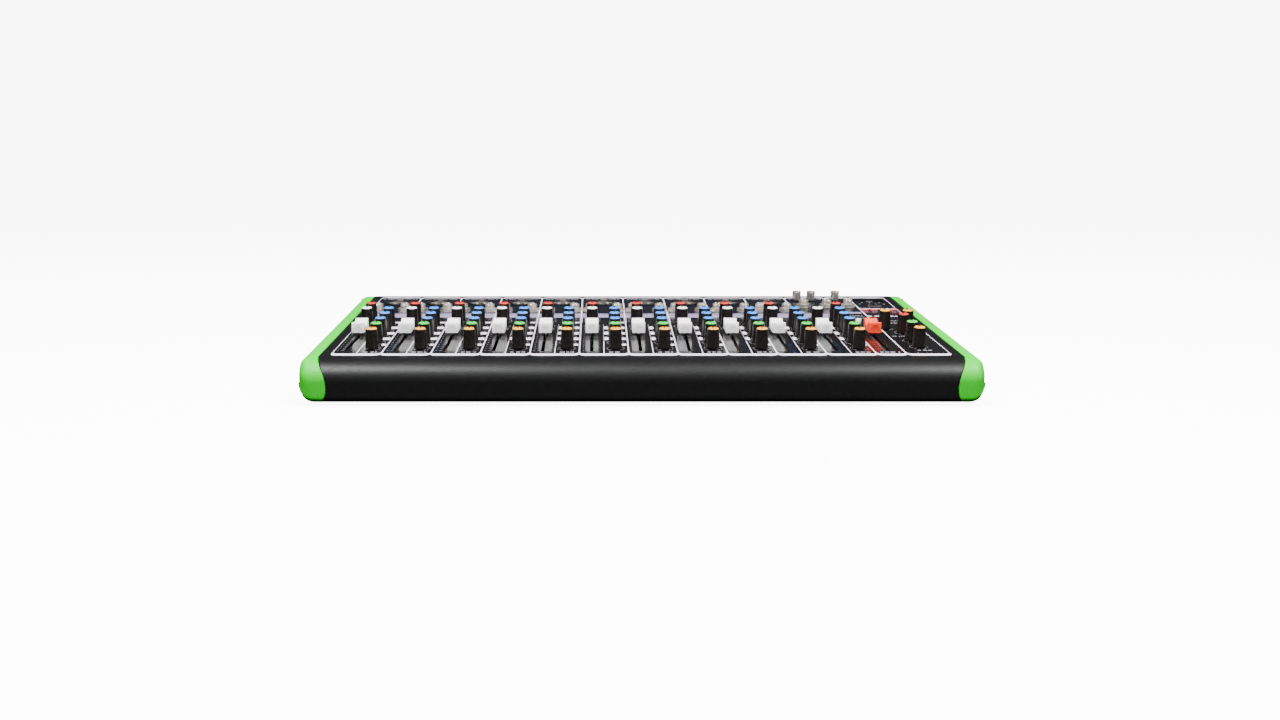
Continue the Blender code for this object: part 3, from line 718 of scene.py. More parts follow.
@dataclass(frozen=True)
class CoverShell:
    """Front flange, nose and deck in one bent and coated sheet."""

    gap: float = 0.3 * MM
    lip_gap: float = 0.6 * MM
    flange: tuple[float, float] = (-132 * MM, -142 * MM)
    deck_start: float = -130.4 * MM

    def section(self, inset: float) -> list[tuple[float, float]]:
        """(y, z) of the sheet's outer or inner side, from the flange to the rear."""
        floor = PROFILE.floor + inset
        points = [(y, floor) for y in self.flange] + PROFILE.front(inset)[1:]
        return points + [(y, PROFILE.deck_height(y, inset)) for y in (self.deck_start, PROFILE.half_depth)]

    def build(self) -> None:
        """Bends the sheet, draws it in for the cheeks' lips, and pierces it."""
        end = PROFILE.cheek_inner - self.gap
        bm = bmesh.new()
        outer, inner = self.section(0), self.section(SHEET)
        rings = []
        for i, (out, into) in enumerate(zip(outer, inner)):
            wide = i < 2 or i >= len(outer) - 2
            x = end if wide else PROFILE.lip_x(out[1]) - self.lip_gap
            rings.append(add_chain(bm, [(-x, *out), (x, *out), (x, *into), (-x, *into)], True))
        for ring, following in zip(rings, rings[1:]):
            bmesh.ops.bridge_loops(bm, edges=ring + following)
        for ring in (rings[0], rings[-1]):
            bmesh.ops.contextual_create(bm, geom=ring)
        face_outwards(bm)
        cover = make(bm, "top_cover_shell", [POWDER_COAT])
        cut(cover, deck_holes(-6 * MM, 6 * MM))
        cover.data.set_sharp_from_angle(angle=math.radians(32))
        settle(cover, stands_for=["top_cover"])


@dataclass(frozen=True)
class Cheek:
    """A moulded end cap whose lip wraps round the cover's front corner."""

    name: str
    side: int
    stations: tuple[float, ...] = (260, 262, 264, 265, 266, 267, 267.6, 267.8, 268, 268.8, 269.6, 270.3, 270.8, 271.15,
                                   271.4, 271.5)
    bevel: float = 0.5 * MM

    def build(self) -> None:
        """Lofts the cap outwards, then closes its inner side with the lip."""
        bm = bmesh.new()
        inner_x = PROFILE.cheek_inner
        rings = [add_chain(bm, [(self.side * x, y, z) for y, z in PROFILE.cheek_ring(x)], True)
                 for x in [inner_x] + [station * MM for station in self.stations]]
        for ring, following in zip(rings, rings[1:]):
            bmesh.ops.bridge_loops(bm, edges=ring + following)
        bmesh.ops.contextual_create(bm, geom=rings[-1])
        outer, inner = PROFILE.front(0), PROFILE.front(PROFILE.lip)
        steps = len(outer) - 1
        edges = [self.side * PROFILE.lip_x(z) for _, z in outer]
        bevelled = PROFILE.front(self.bevel)
        chains = [rings[0][:steps]]
        chains.append(add_chain(bm, [(x + self.side * self.bevel, *point) for x, point in zip(edges, outer)], False))
        chains.append(add_chain(bm, [(x, *point) for x, point in zip(edges, bevelled)], False))
        chains.append(add_chain(bm, [(x, *point) for x, point in zip(edges, inner)], False))
        chains.append(add_chain(bm, [(self.side * inner_x, *point) for point in inner], False))
        for chain, following in zip(chains, chains[1:]):
            bmesh.ops.bridge_loops(bm, edges=chain + following)
        ends = [[chain[index].verts[index] for chain in chains] for index in (0, -1)]
        for corners in ends:
            bm.faces.new(corners)
        bmesh.ops.holes_fill(bm, edges=[edge for edge in bm.edges if edge.is_boundary], sides=0)
        face_outwards(bm)
        settle(make(bm, f"{self.name}_moulding", [CHEEK_GREEN], 38), stands_for=[self.name])


# ---------------------------------------------------------------- print on the deck
@dataclass
class PanelPrint:
    """Gloss film and printed marks on the deck, each a thin raised layer.

    Attributes:
        white: Ink in plain white.
        frames: The white frames round the sections, which stop at the holes of the keys.
        lilac: Ink in the bands' greyish lilac.
        grey: Ink of the fine scales and captions.
        dark: Marks printed over white.
    """

    white: bmesh.types.BMesh = field(default_factory=bmesh.new)
    frames: bmesh.types.BMesh = field(default_factory=bmesh.new)
    lilac: bmesh.types.BMesh = field(default_factory=bmesh.new)
    grey: bmesh.types.BMesh = field(default_factory=bmesh.new)
    dark: bmesh.types.BMesh = field(default_factory=bmesh.new)
    strip_rear: float = 145 * MM
    front_bar: tuple[float, float] = (-3.7 * MM, 3.5 * MM)
    back_bar: tuple[float, float] = (258.3 * MM, 261.5 * MM)
    corner: float = 5.5 * MM

    def bar(self, ink: bmesh.types.BMesh, x: tuple[float, float], y: tuple[float, float],
            radius: float = 0.0, top: float = INK_TOP) -> None:
        """A printed rectangle between two x and two y."""
        if radius:
            add_slab(ink, rounded((x[0], y[0]), (x[1], y[1]), radius, 4), PRINT_LOW, top)
        else:
            add_box(ink, (x[0], y[0], PRINT_LOW), (x[1], y[1], top))

    def outline(self, x: tuple[float, float], line: float = 0.5 * MM) -> None:
        """The white frame round one section, with a broad front bar and thin sides."""
        front, rear = self.front_bar, self.back_bar
        add_ring(self.frames, rounded((x[0], front[0]), (x[1], rear[1]), self.corner, 6),
                 rounded((x[0] + line, front[1]), (x[1] - line, rear[0]), self.corner - 1.5 * MM, 6),
                 PRINT_LOW, INK_TOP)

    def words(self, ink: bmesh.types.BMesh, x: tuple[float, float], y: float, height: float, seed: int,
              top: float = INK_TOP) -> None:
        """A row of blank dashes where a caption would stand."""
        at = x[0]
        step = 0
        while at < x[1] - height * 0.4:
            length = height * (0.75 + 0.55 * ((seed * 7 + step * 5) % 4) / 3)
            self.bar(ink, (at, min(at + length, x[1])), (y - height / 2, y + height / 2), 0.0, top)
            at += length + height * (0.35 if (seed + step) % 3 else 0.8)
            step += 1

    def label(self, x: tuple[float, float], y: tuple[float, float], lines: int = 2, radius: float = 0.8 * MM) -> None:
        """A white field with fine grey rules across it."""
        self.bar(self.white, x, y, radius)
        for line in range(1, lines + 1):
            at = y[0] + (y[1] - y[0]) * line / (lines + 1)
            self.bar(self.grey, (x[0] + 0.8 * MM, x[1] - 0.8 * MM), (at - 0.22 * MM, at + 0.22 * MM), 0.0,
                     INK_TOP + 0.03 * MM)

    def scale(self, x: float, y: float, radius: float = 7.1 * MM, marks: int = 11) -> None:
        """A fine arc with short marks round a knob, from seven o'clock to five o'clock."""
        for i in range(marks):
            angle = math.radians(240 - 300 * i / (marks - 1))
            turn = Matrix.Translation((x, y, 0)) @ Matrix.Rotation(angle - math.pi / 2, 4, "Z")
            long = 1.3 * MM if i in (0, marks // 2, marks - 1) else 0.8 * MM
            add_box(self.grey, (-0.18 * MM, radius, PRINT_LOW), (0.18 * MM, radius + long, INK_TOP), place=turn)
        arc = [math.radians(240 - 300 * i / 24) for i in range(25)]
        for first, second in zip(arc, arc[1:]):
            middle, half = (first + second) / 2, radius * math.sin((first - second) / 2) * 1.04
            turn = Matrix.Translation((x, y, 0)) @ Matrix.Rotation(middle - math.pi / 2, 4, "Z")
            add_box(self.grey, (-half, radius - 0.22 * MM, PRINT_LOW), (half, radius, INK_TOP), place=turn)

    def number(self, text: str, x: float, y: float, size: float = 2.3 * MM) -> None:
        """A printed number, centred on a point."""
        curve = bpy.data.curves.new("number", "FONT")
        curve.body, curve.size, curve.resolution_u = text, size, 1
        curve.align_x, curve.align_y = "CENTER", "CENTER"
        curve.extrude = (INK_TOP - PRINT_LOW) / 2
        holder = bpy.data.objects.new("number", curve)
        mesh = bpy.data.meshes.new_from_object(holder)
        mesh.transform(Matrix.Translation((x, y, (INK_TOP + PRINT_LOW) / 2)))
        self.grey.from_mesh(mesh)
        bpy.data.objects.remove(holder)
        bpy.data.curves.remove(curve)
        bpy.data.meshes.remove(mesh)

    def fader_scale(self, x: float) -> None:
        """Marks and numbers along a fader's slot."""
        front, rear, _ = SLOT
        for i in range(21):
            y = front + 3 * MM + (rear - front - 6 * MM) * i / 20
            major = i % 2 == 0
            self.bar(self.grey, (x - (4.5 if major else 3.6) * MM, x - 2.2 * MM), (y - 0.2 * MM, y + 0.2 * MM))
            if major:
                self.number(str(i // 2), x - 6.8 * MM, y)

    def strip(self, number: int) -> None:
        """Everything printed on one channel strip."""
        left, right = DECK.column(number), DECK.column(number + 1)
        u = DECK.column
        self.outline((left + 0.05 * MM, right - 0.05 * MM))
        middle = u(number + 0.5)
        self.bar(self.white, (middle - 0.35 * MM, middle + 0.35 * MM), (self.front_bar[1], 52 * MM))
        self.bar(self.grey, (middle - 0.3 * MM, middle + 0.3 * MM), (52 * MM, 124 * MM))
        self.bar(self.lilac, (left - 1.35 * MM, left + 1.35 * MM), (133 * MM, 157.5 * MM))
        for band in ((157 * MM, 166 * MM), (167.3 * MM, 175.5 * MM)):
            self.bar(self.lilac, (left + 0.9 * MM, right - 0.9 * MM), band, 0.8 * MM)
        self.words(self.grey, (u(number + 0.08), u(number + 0.94)), 161.6 * MM, 1.2 * MM, number + 5, INK_TOP + 0.03 * MM)
        self.words(self.dark, (u(number + 0.08), u(number + 0.94)), 171.4 * MM, 1.7 * MM, number + 2, INK_TOP + 0.03 * MM)
        self.words(self.grey, (u(number + 0.1), u(number + 0.9)), 251 * MM, 1.8 * MM, number + 3)
        for low, high in ((57, 66), (80, 89), (104, 113), (130, 135)):
            self.label((u(number + 0.80), u(number + 0.965)), (low * MM, high * MM), 1)
        for low, high in ((57, 68), (80, 91), (103, 114)):
            self.label((u(number + 0.515), u(number + 0.60)), (low * MM, high * MM), 2)
        self.label((u(number + 0.88), u(number + 0.965)), (34 * MM, 41 * MM), 1)
        self.words(self.grey, (u(number + 0.60), u(number + 0.90)), 9 * MM, 3.2 * MM, number + 9)
        self.words(self.grey, (u(number + 0.08), u(number + 0.42)), 103.5 * MM, 1.6 * MM, number + 4)
        self.words(self.grey, (u(number + 0.06), u(number + 0.44)), 150 * MM, 1.8 * MM, number + 6)
        self.words(self.grey, (u(number + 0.1), u(number + 0.36)), 180.5 * MM, 1.4 * MM, number + 2)
        self.words(self.grey, (u(number + 0.7), u(number + 0.94)), 180.5 * MM, 1.4 * MM, number + 8)

    def master(self) -> None:
        """The print of the main fader's strip and of the master section."""
        u = DECK.column
        last = DECK.column(DECK.channels)
        self.outline((last + 0.05 * MM, MASTER_LEFT - 0.7 * MM))
        self.outline((MASTER_LEFT - 0.6 * MM, MASTER_RIGHT))
        self.bar(self.lilac, (last + 2 * MM, MASTER_LEFT - 3 * MM), (176 * MM, 184 * MM), 0.8 * MM)
        self.words(self.dark, (last + 4 * MM, MASTER_LEFT - 6 * MM), 180 * MM, 1.7 * MM, 5, INK_TOP + 0.03 * MM)
        for row in (152 * MM, 159 * MM, 166 * MM):
            self.words(self.grey, (last + 3 * MM, u(11.52)), row, 1.7 * MM, int(row / MM))
        self.words(self.grey, (u(11.10), u(11.50)), 9 * MM, 3 * MM, 7)
        for row, seed in ((72 * MM, 2), (128 * MM, 4), (134 * MM, 5), (141 * MM, 8)):
            self.words(self.grey, (u(11.68), u(12.42)), row, 1.6 * MM, seed)
        self.words(self.grey, (u(11.9), u(12.2)), 16 * MM, 2.6 * MM, 3)
        self.words(self.white, (u(11.62), u(12.30)), 163 * MM, 3.2 * MM, 6)
        for x, y in KEYS.values():
            self.words(self.white, (x - 4.2 * MM, x + 4.6 * MM), y + 9 * MM, 3.0 * MM, round(x / MM) % 5)
            self.words(self.grey, (x - 3 * MM, x + 3.4 * MM), y - 7.5 * MM, 1.6 * MM, round(x / MM) % 3)

    def build(self) -> None:
        """Lays the films and prints every mark."""
        film, rear = bmesh.new(), bmesh.new()
        inside = self.front_bar[1] - 0.3 * MM, self.back_bar[0] + 0.3 * MM
        for number in range(DECK.channels):
            left, right = DECK.column(number) + 0.4 * MM, DECK.column(number + 1) - 0.4 * MM
            self.bar(film, (left, right), (inside[0], self.strip_rear - 0.2 * MM), 0, FILM_TOP)
            self.bar(rear, (left, right), (self.strip_rear, inside[1]), 0, FILM_TOP)
            self.strip(number)
        for left, right in ((DECK.column(DECK.channels), MASTER_LEFT - 0.7 * MM), (MASTER_LEFT - 0.6 * MM, MASTER_RIGHT)):
            self.bar(film, (left + 0.4 * MM, right - 0.4 * MM), (inside[0], 149 * MM), 0, FILM_TOP)
            self.bar(rear, (left + 0.4 * MM, right - 0.4 * MM), (149.2 * MM, inside[1]), 0, FILM_TOP)
        self.master()
        for x in FADER_XS:
            self.fader_scale(x)
        for x, y in [(x, y) for x, y, _ in FIXED_KNOBS] + list(TURNING_KNOBS.values()):
            self.scale(x, y)
        pieces = (("strip_film", film, STRIP_FILM), ("rear_film", rear, REAR_FILM),
                  ("white_print", self.white, PRINT_WHITE), ("frame_print", self.frames, PRINT_WHITE),
                  ("lilac_print", self.lilac, PRINT_LILAC),
                  ("grey_print", self.grey, PRINT_GREY), ("dark_print", self.dark, SOCKET_BLACK))
        for name, bm, finish in pieces:
            piece = DECK.make(bm, name, [finish])
            if name in ("strip_film", "rear_film", "frame_print"):
                cut(piece, deck_holes(-1 * MM, 1 * MM, 0.1 * MM))
            settle(piece)


# ---------------------------------------------------------------- controls
@dataclass(frozen=True)
class Knob:
    """A fluted, nearly straight barrel with a coloured insert and a pointer notch."""

    base: float = 5.5 * MM
    top: float = 4.85 * MM
    clear: float = 0.8 * MM
    barrel: float = 16.4 * MM
    height: float = 17.7 * MM
    spindle: float = 2.5 * MM
    flutes: int = 15
    flute_depth: float = 0.035
    insert: float = 4.5 * MM

    def flute(self, bm: bmesh.types.BMesh) -> None:
        """Presses the flutes into the barrel's side."""
        for vert in bm.verts:
            if self.clear + 1.2 * MM < vert.co.z < self.barrel - 0.2 * MM:
                angle = math.atan2(vert.co.y, vert.co.x)
                inset = 1 - self.flute_depth * (0.5 - 0.5 * math.cos(self.flutes * angle))
                vert.co.x *= inset
                vert.co.y *= inset

    def add(self, bm: bmesh.types.BMesh, x: float, y: float, tone: int) -> None:
        """Adds the knob; index 0 is its black, and `tone` its insert's colour."""
        place = DECK.spot(x, y)
        clear, barrel = self.clear, self.barrel
        profile = ((0, -7.6 * MM), (self.spindle, -7.6 * MM), (self.spindle, clear), (self.base - 0.2 * MM, clear),
                   (self.base, clear + 0.2 * MM), (self.base - 0.02 * MM, clear + 1.1 * MM),
                   (self.base - 0.08 * MM, clear + 1.5 * MM), (self.top + 0.06 * MM, barrel - 0.9 * MM),
                   (self.top - 0.06 * MM, barrel - 0.3 * MM), (self.top - 0.22 * MM, barrel),
                   (self.insert - 0.4 * MM, barrel), (0, barrel))
        add_turned(bm, profile, self.flutes * 4, 0, place, self.flute)
        insert, height = self.insert, self.height - 0.3 * MM
        cap = ((0, barrel - 0.2 * MM), (insert, barrel - 0.2 * MM), (insert, barrel + 0.25 * MM),
               (insert - 0.12 * MM, height - 0.6 * MM), (insert - 0.5 * MM, height - 0.16 * MM),
               (insert - 1.0 * MM, height), (insert - 1.5 * MM, height - 0.12 * MM), (0, height - 0.3 * MM))
        add_turned(bm, cap, 40, tone, place)
        notch = [(-1.2 * MM, insert + 0.25 * MM), (1.2 * MM, insert + 0.25 * MM), (0.35 * MM, 0.6 * MM),
                 (-0.35 * MM, 0.6 * MM)]
        add_slab(bm, notch[::-1], barrel - 0.4 * MM, self.height, 0, place)


def cap_tone(body: str) -> CapTone:
    """The insert's colour of a turning knob."""
    if body.startswith("gain") or body.startswith("phones"):
        return CapTone.RED
    return CapTone.GREEN if body == "master_echo_knob" else CapTone.ORANGE


def build_knobs() -> None:
    """The fixed knobs in one piece on the control board, and every turning knob on its own body."""
    knob = Knob()
    tones = list(CapTone)
    bm = bmesh.new()
    for x, y, tone in FIXED_KNOBS:
        knob.add(bm, x, y, tones.index(tone) + 1)
    fixed = DECK.make(bm, "fixed_knobs", [KNOB_BLACK] + [tone.value for tone in tones], 40)
    settle(fixed, stands_for=["control_board"])
    for body, (x, y) in TURNING_KNOBS.items():
        bm = bmesh.new()
        knob.add(bm, x, y, 1)
        piece = DECK.make(bm, f"{body}_fluted", [KNOB_BLACK, cap_tone(body).value], 40)
        settle(piece, body, [body])


@dataclass(frozen=True)
class FaderCap:
    """A fader's finger piece: two ridges with a thumb hollow between them, on a steel blade."""

    body: str
    finish: Finish
    slot: str
    width: float = 10.9 * MM
    length: float = 23.5 * MM
    low: float = 3.4 * MM
    high: float = 12.4 * MM
    ridge: float = 3.6 * MM
    valley: float = 4.2 * MM
    steps: int = 20

    def outline(self) -> list[tuple[float, float]]:
        """(y, z) round the cap's side."""
        half, low, high = self.length / 2, self.low, self.high
        start, span = self.ridge - half, self.length - 2 * self.ridge
        hollow = [(start + span * i / self.steps, high - self.valley * math.sin(math.pi * i / self.steps))
                  for i in range(self.steps + 1)]
        return [(-half, low), (0.8 * MM - half, high)] + hollow + [(half - 0.8 * MM, high), (half, low)]

    def build(self) -> None:
        """Extrudes and softens the cap, then adds its centre line and blade."""
        x, y = DECK.middle(self.body)
        new = bmesh.new()
        half = self.width / 2
        face = new.faces.new([new.verts.new((-half, *point)) for point in self.outline()])
        made = bmesh.ops.extrude_face_region(new, geom=[face])["geom"]
        bmesh.ops.translate(new, vec=(self.width, 0, 0), verts=[v for v in made if isinstance(v, bmesh.types.BMVert)])
        face_outwards(new)
        rims = [edge for edge in new.edges if edge.calc_face_angle(0) > math.radians(25)]
        bmesh.ops.bevel(new, geom=rims, offset=0.45 * MM, segments=3, profile=0.5, affect="EDGES", material=-1)
        y = self.rest_row()
        shell = make(new, f"{self.body}_blank", [self.finish])
        cut(shell, self.dishes())
        bm = bmesh.new()
        bm.from_mesh(shell.data)
        bpy.data.objects.remove(shell)
        bmesh.ops.transform(bm, matrix=DECK.spot(x, y), verts=bm.verts)
        floor = self.high - self.valley
        add_box(bm, (-half + 0.3 * MM, -0.3 * MM, floor - 0.3 * MM), (half - 0.3 * MM, 0.3 * MM, floor + 0.06 * MM),
                0.0, 1, DECK.spot(x, y))
        add_box(bm, (-0.8 * MM, -3 * MM, -11 * MM), (0.8 * MM, 3 * MM, self.low + 1 * MM), 0.2 * MM, 2,
                DECK.spot(x, y))
        piece = DECK.make(bm, f"{self.body}_cap", [self.finish, BLADE_BLACK, ZINC], 17)
        settle(piece, self.body, [self.body])

    def dishes(self) -> bmesh.types.BMesh:
        """Two long rounded bodies that hollow the front and the rear face."""
        bm = bmesh.new()
        for side in (-1, 1):
            reach, depth = 12 * MM, 1.1 * MM
            at = (0, side * (self.length / 2 - depth + reach), self.low + 2.6 * MM)
            shape = Matrix.Translation(at) @ Matrix.Diagonal((reach * 0.93, reach, reach * 1.45, 1))
            bmesh.ops.create_uvsphere(bm, u_segments=72, v_segments=48, radius=1.0, matrix=shape)
        return bm

    def rest_row(self) -> float:
        """y on the deck of the cap's middle, read from the foremost and rearmost points of its node."""
        inverse = DECK.place.inverted()
        ys = [(inverse @ vert.co).y for vert in frame["nodes"][self.body].data.vertices]
        return (min(ys) + max(ys)) / 2


def build_faders() -> None:
    """Every fader cap."""
    for body in frame["bodies"]:
        if body.startswith("channel_fader"):
            FaderCap(body, FADER_WHITE, "white_cap").build()
    FaderCap("main_fader", FADER_RED, "red_cap").build()


def build_buttons() -> None:
    """The player's four keys and the phantom power key."""
    for body, (x, y) in KEYS.items():
        bm = bmesh.new()
        add_box(bm, (-3.5 * MM, -2.2 * MM, 0.1 * MM), (3.5 * MM, 2.2 * MM, 1.6 * MM), 0.45 * MM, 0, DECK.spot(x, y))
        add_box(bm, (-1.6 * MM, -1.2 * MM, -6.4 * MM), (1.6 * MM, 1.2 * MM, 0.4 * MM), 0.2 * MM, 1, DECK.spot(x, y))
        settle(DECK.make(bm, f"{body}_keycap", [KEY_PINK, SOCKET_BLACK]), body, [body])
    x, y = DECK.middle("phantom_button")
    radius, top = 2.4 * MM, 2.6 * MM
    profile = ((0, -11 * MM), (1.8 * MM, -11 * MM), (1.8 * MM, -1 * MM), (radius, -1 * MM), (radius, top - 0.5 * MM),
               (radius - 0.15 * MM, top - 0.15 * MM), (radius - 0.5 * MM, top), (radius - 1 * MM, top - 0.1 * MM),
               (0, top - 0.35 * MM))
    bm = bmesh.new()
    add_turned(bm, profile, 40, 0, DECK.spot(x, y))
    settle(DECK.make(bm, "phantom_button_key", [KEY_WHITE]), "phantom_button", ["phantom_button"])


# ---------------------------------------------------------------- sockets and boards
BODY, METAL, MOULD, GOLD = 0, 1, 2, 3       # material indices of a socket board
SOCKET_FINISHES = (LAMINATE, NICKEL, SOCKET_BLACK, CONTACT_GOLD)


@dataclass(frozen=True)
class JackSocket:
    """A 6.35 mm socket with a threaded bush, a washer and a hexagonal nut."""

    bore: float = 3.6 * MM
    bush: float = 4.6 * MM
    top: float = 7 * MM
    nut: float = 5.9 * MM
    nut_top: float = 3.1 * MM
    thread: float = 0.5 * MM

    def hexagon(self, bm: bmesh.types.BMesh) -> None:
        """Pushes the nut's round side out to a hexagon."""
        for vert in bm.verts:
            radius = vert.co.xy.length
            if radius > self.bush + 0.3 * MM:
                angle = math.atan2(vert.co.y, vert.co.x) % (math.pi / 3) - math.pi / 6
                grow = 1 / math.cos(angle)
                vert.co.x *= grow
                vert.co.y *= grow

    def add(self, bm: bmesh.types.BMesh, x: float, y: float, floor: float) -> None:
        """Adds the socket, whose moulded body stands on a board at height `floor`."""
        place = DECK.spot(x, y)
        bush, top, bore = self.bush, self.top, self.bore
        add_box(bm, (-7 * MM, -7 * MM, floor), (7 * MM, 7 * MM, -SHEET - 0.5 * MM), 0.5 * MM, MOULD, place)
        washer = ((bush + 0.1 * MM, 0.1 * MM), (6.9 * MM, 0.1 * MM), (6.9 * MM, 0.5 * MM), (6.6 * MM, 0.65 * MM),
                  (bush + 0.1 * MM, 0.65 * MM))
        add_turned(bm, washer, 36, METAL, place)
        nut = ((bush - 0.1 * MM, 0.7 * MM), (self.nut, 0.7 * MM), (self.nut, self.nut_top - 0.35 * MM),
               (self.nut - 0.5 * MM, self.nut_top), (bush - 0.1 * MM, self.nut_top))
        add_turned(bm, nut, 36, METAL, place, self.hexagon)
        side = []
        turns = int((top - 0.5 * MM - self.nut_top) / self.thread)
        for i in range(turns):
            low = self.nut_top + i * self.thread
            side += [(bush, low + 0.15 * MM), (bush - 0.28 * MM, low + self.thread * 0.65)]
        profile = [(bore, -8 * MM), (bush, -8 * MM)] + side
        profile += [(bush - 0.1 * MM, top - 0.45 * MM), (bush - 0.5 * MM, top), (bore + 0.25 * MM, top),
                    (bore, top - 0.3 * MM)]
        add_turned(bm, profile, 36, METAL, place)
        sleeve = ((bore - 0.02 * MM, -14 * MM), (bore + 0.7 * MM, -14 * MM), (bore + 0.7 * MM, -8 * MM),
                  (bore - 0.02 * MM, -8 * MM))
        add_turned(bm, sleeve, 24, MOULD, place)
        add_turned(bm, ((0, -15 * MM), (bore + 0.7 * MM, -15 * MM), (bore + 0.7 * MM, -14 * MM), (0, -14 * MM)),
                   24, MOULD, place)
        add_box(bm, (bore - 1.1 * MM, -0.9 * MM, -13 * MM), (bore - 0.3 * MM, 0.9 * MM, -3 * MM), 0.2 * MM, GOLD, place)


@dataclass(frozen=True)
class MicSocket:
    """A round three-pole socket: flange, sleeve groove, contact block and latch."""

    radius: float = 12.2 * MM
    groove: tuple[float, float] = (7.3 * MM, 9.5 * MM)

    def add(self, bm: bmesh.types.BMesh, x: float, y: float, floor: float) -> None:
        """Adds the socket, whose shell stands on a board at height `floor`."""
        place = DECK.spot(x, y)
        inner, outer = self.groove
        shell = ((outer, floor), (self.radius, floor), (self.radius, 0.9 * MM), (self.radius - 0.3 * MM, 1.2 * MM),
                 (outer + 0.4 * MM, 1.2 * MM), (outer, 0.8 * MM))
        add_turned(bm, shell, 48, MOULD, place)
        block = ((0, floor), (inner, floor), (inner, -1.4 * MM), (inner - 0.4 * MM, -1 * MM), (0, -1 * MM))
        add_turned(bm, block, 40, MOULD, place)
        base = ((inner - 0.2 * MM, floor), (outer + 0.2 * MM, floor), (outer + 0.2 * MM, -12 * MM),
                (inner - 0.2 * MM, -12 * MM))
        add_turned(bm, base, 40, MOULD, place)
        ring = ((outer - 0.35 * MM, -6 * MM), (outer + 0.05 * MM, -6 * MM), (outer + 0.05 * MM, 0.2 * MM),
                (outer - 0.35 * MM, 0.2 * MM))
        add_turned(bm, ring, 48, METAL, place)
        for angle in (30, 150, 270):
            side = Matrix.Rotation(math.radians(angle), 4, "Z")
            pole = place @ side @ Matrix.Translation((4.1 * MM, 0, 0))
            add_turned(bm, ((0, -1.3 * MM), (1.55 * MM, -1.3 * MM), (1.5 * MM, -0.3 * MM), (1.2 * MM, 0.2 * MM),
                            (0.7 * MM, 0.35 * MM), (0.6 * MM, -0.6 * MM), (0, -0.7 * MM)), 20, METAL, pole)
        add_box(bm, (-2.6 * MM, 9.9 * MM, 0.6 * MM), (2.6 * MM, 12 * MM, 1.7 * MM), 0.3 * MM, METAL, place)
        add_box(bm, (-1.2 * MM, -9.8 * MM, -8 * MM), (1.2 * MM, -8.2 * MM, 0.7 * MM), 0.2 * MM, MOULD, place)


@dataclass(frozen=True)
class PhonoSocket:
    """A phono socket: plated collar round an insulator with the pin's hole."""

    shell: float = 4.15 * MM
    top: float = 9.5 * MM

    def add(self, bm: bmesh.types.BMesh, x: float, y: float, floor: float) -> None:
        """Adds the socket, whose stem stands on a board at height `floor`."""
        place = DECK.spot(x, y)
        shell, top = self.shell, self.top
        foot = ((0, floor), (4.7 * MM, floor), (4.7 * MM, 0), (5.9 * MM, 0.1 * MM), (5.9 * MM, 1.1 * MM),
                (5.5 * MM, 1.5 * MM), (0, 1.5 * MM))
        add_turned(bm, foot, 32, MOULD, place)
        collar = ((3.3 * MM, 1.4 * MM), (shell - 0.15 * MM, 1.4 * MM), (shell, 1.7 * MM), (shell, top - 0.4 * MM),
                  (shell - 0.35 * MM, top), (3.55 * MM, top), (3.3 * MM, top - 0.25 * MM))
        add_turned(bm, collar, 36, METAL, place)
        plug = ((1.7 * MM, 1.4 * MM), (3.35 * MM, 1.4 * MM), (3.35 * MM, top - 1 * MM), (1.9 * MM, top - 1 * MM),
                (1.7 * MM, top - 1.2 * MM))
        add_turned(bm, plug, 28, MOULD, place)


def build_control_board() -> None:
    """The laminate under the strips, with potentiometers and fader tracks."""
    top = -14 * MM
    bm = bmesh.new()
    add_box(bm, (-250 * MM, 1 * MM, top - 1.6 * MM), (251 * MM, 158 * MM, top), 0.3 * MM, BODY)
    for x, y in [(x, y) for x, y, _ in FIXED_KNOBS] + list(TURNING_KNOBS.values()):
        half = 4.6 * MM
        add_box(bm, (x - half, y - half, top - 0.2 * MM), (x + half, y + half, -8 * MM), 0.4 * MM, MOULD)
        for leg in (-2.5 * MM, 0.0, 2.5 * MM):
            add_box(bm, (x + leg - 0.4 * MM, y - half - 1 * MM, top), (x + leg + 0.4 * MM, y - half, -12 * MM), 0, METAL)
    front, rear, _ = SLOT
    for x in FADER_XS:
        for wall in (-5.4 * MM, 4 * MM):
            add_box(bm, (x + wall, front - 2 * MM, top - 0.2 * MM), (x + wall + 1.4 * MM, rear + 2 * MM, -6 * MM),
                    0.3 * MM, METAL)
        for rail in (-2.4 * MM, 2 * MM):
            add_box(bm, (x + rail, front - 1 * MM, -12.6 * MM), (x + rail + 0.4 * MM, rear + 1 * MM, -12.2 * MM),
                    0, METAL)
    board = DECK.make(bm, "control_board_laminate", SOCKET_FINISHES)
    settle(board, stands_for=["control_board"])


def build_socket_boards() -> None:
    """The input board and the output board with all their sockets."""
    top = -18.4 * MM
    split = DECK.column(DECK.channels - 1)
    jack, mic, phono = JackSocket(), MicSocket(), PhonoSocket()
    bm = bmesh.new()
    add_box(bm, (-250 * MM, 178 * MM, top - 1.6 * MM), (split - 0.5 * MM, 260 * MM, top), 0.3 * MM, BODY)
    for x, y in INPUT_JACKS:
        jack.add(bm, x, y, top)
    for x, y in MICS:
        mic.add(bm, x, y, top)
    settle(DECK.make(bm, "input_sockets", SOCKET_FINISHES), stands_for=["input_board"])
    bm = bmesh.new()
    add_box(bm, (split + 0.5 * MM, 178 * MM, top - 1.6 * MM), (DECK.column(11.56), 260 * MM, top), 0.3 * MM, BODY)
    for x, y in OUTPUT_JACKS:
        jack.add(bm, x, y, top)
    for x, y in PHONOS:
        phono.add(bm, x, y, top)
    settle(DECK.make(bm, "output_sockets", SOCKET_FINISHES), stands_for=["output_board"])


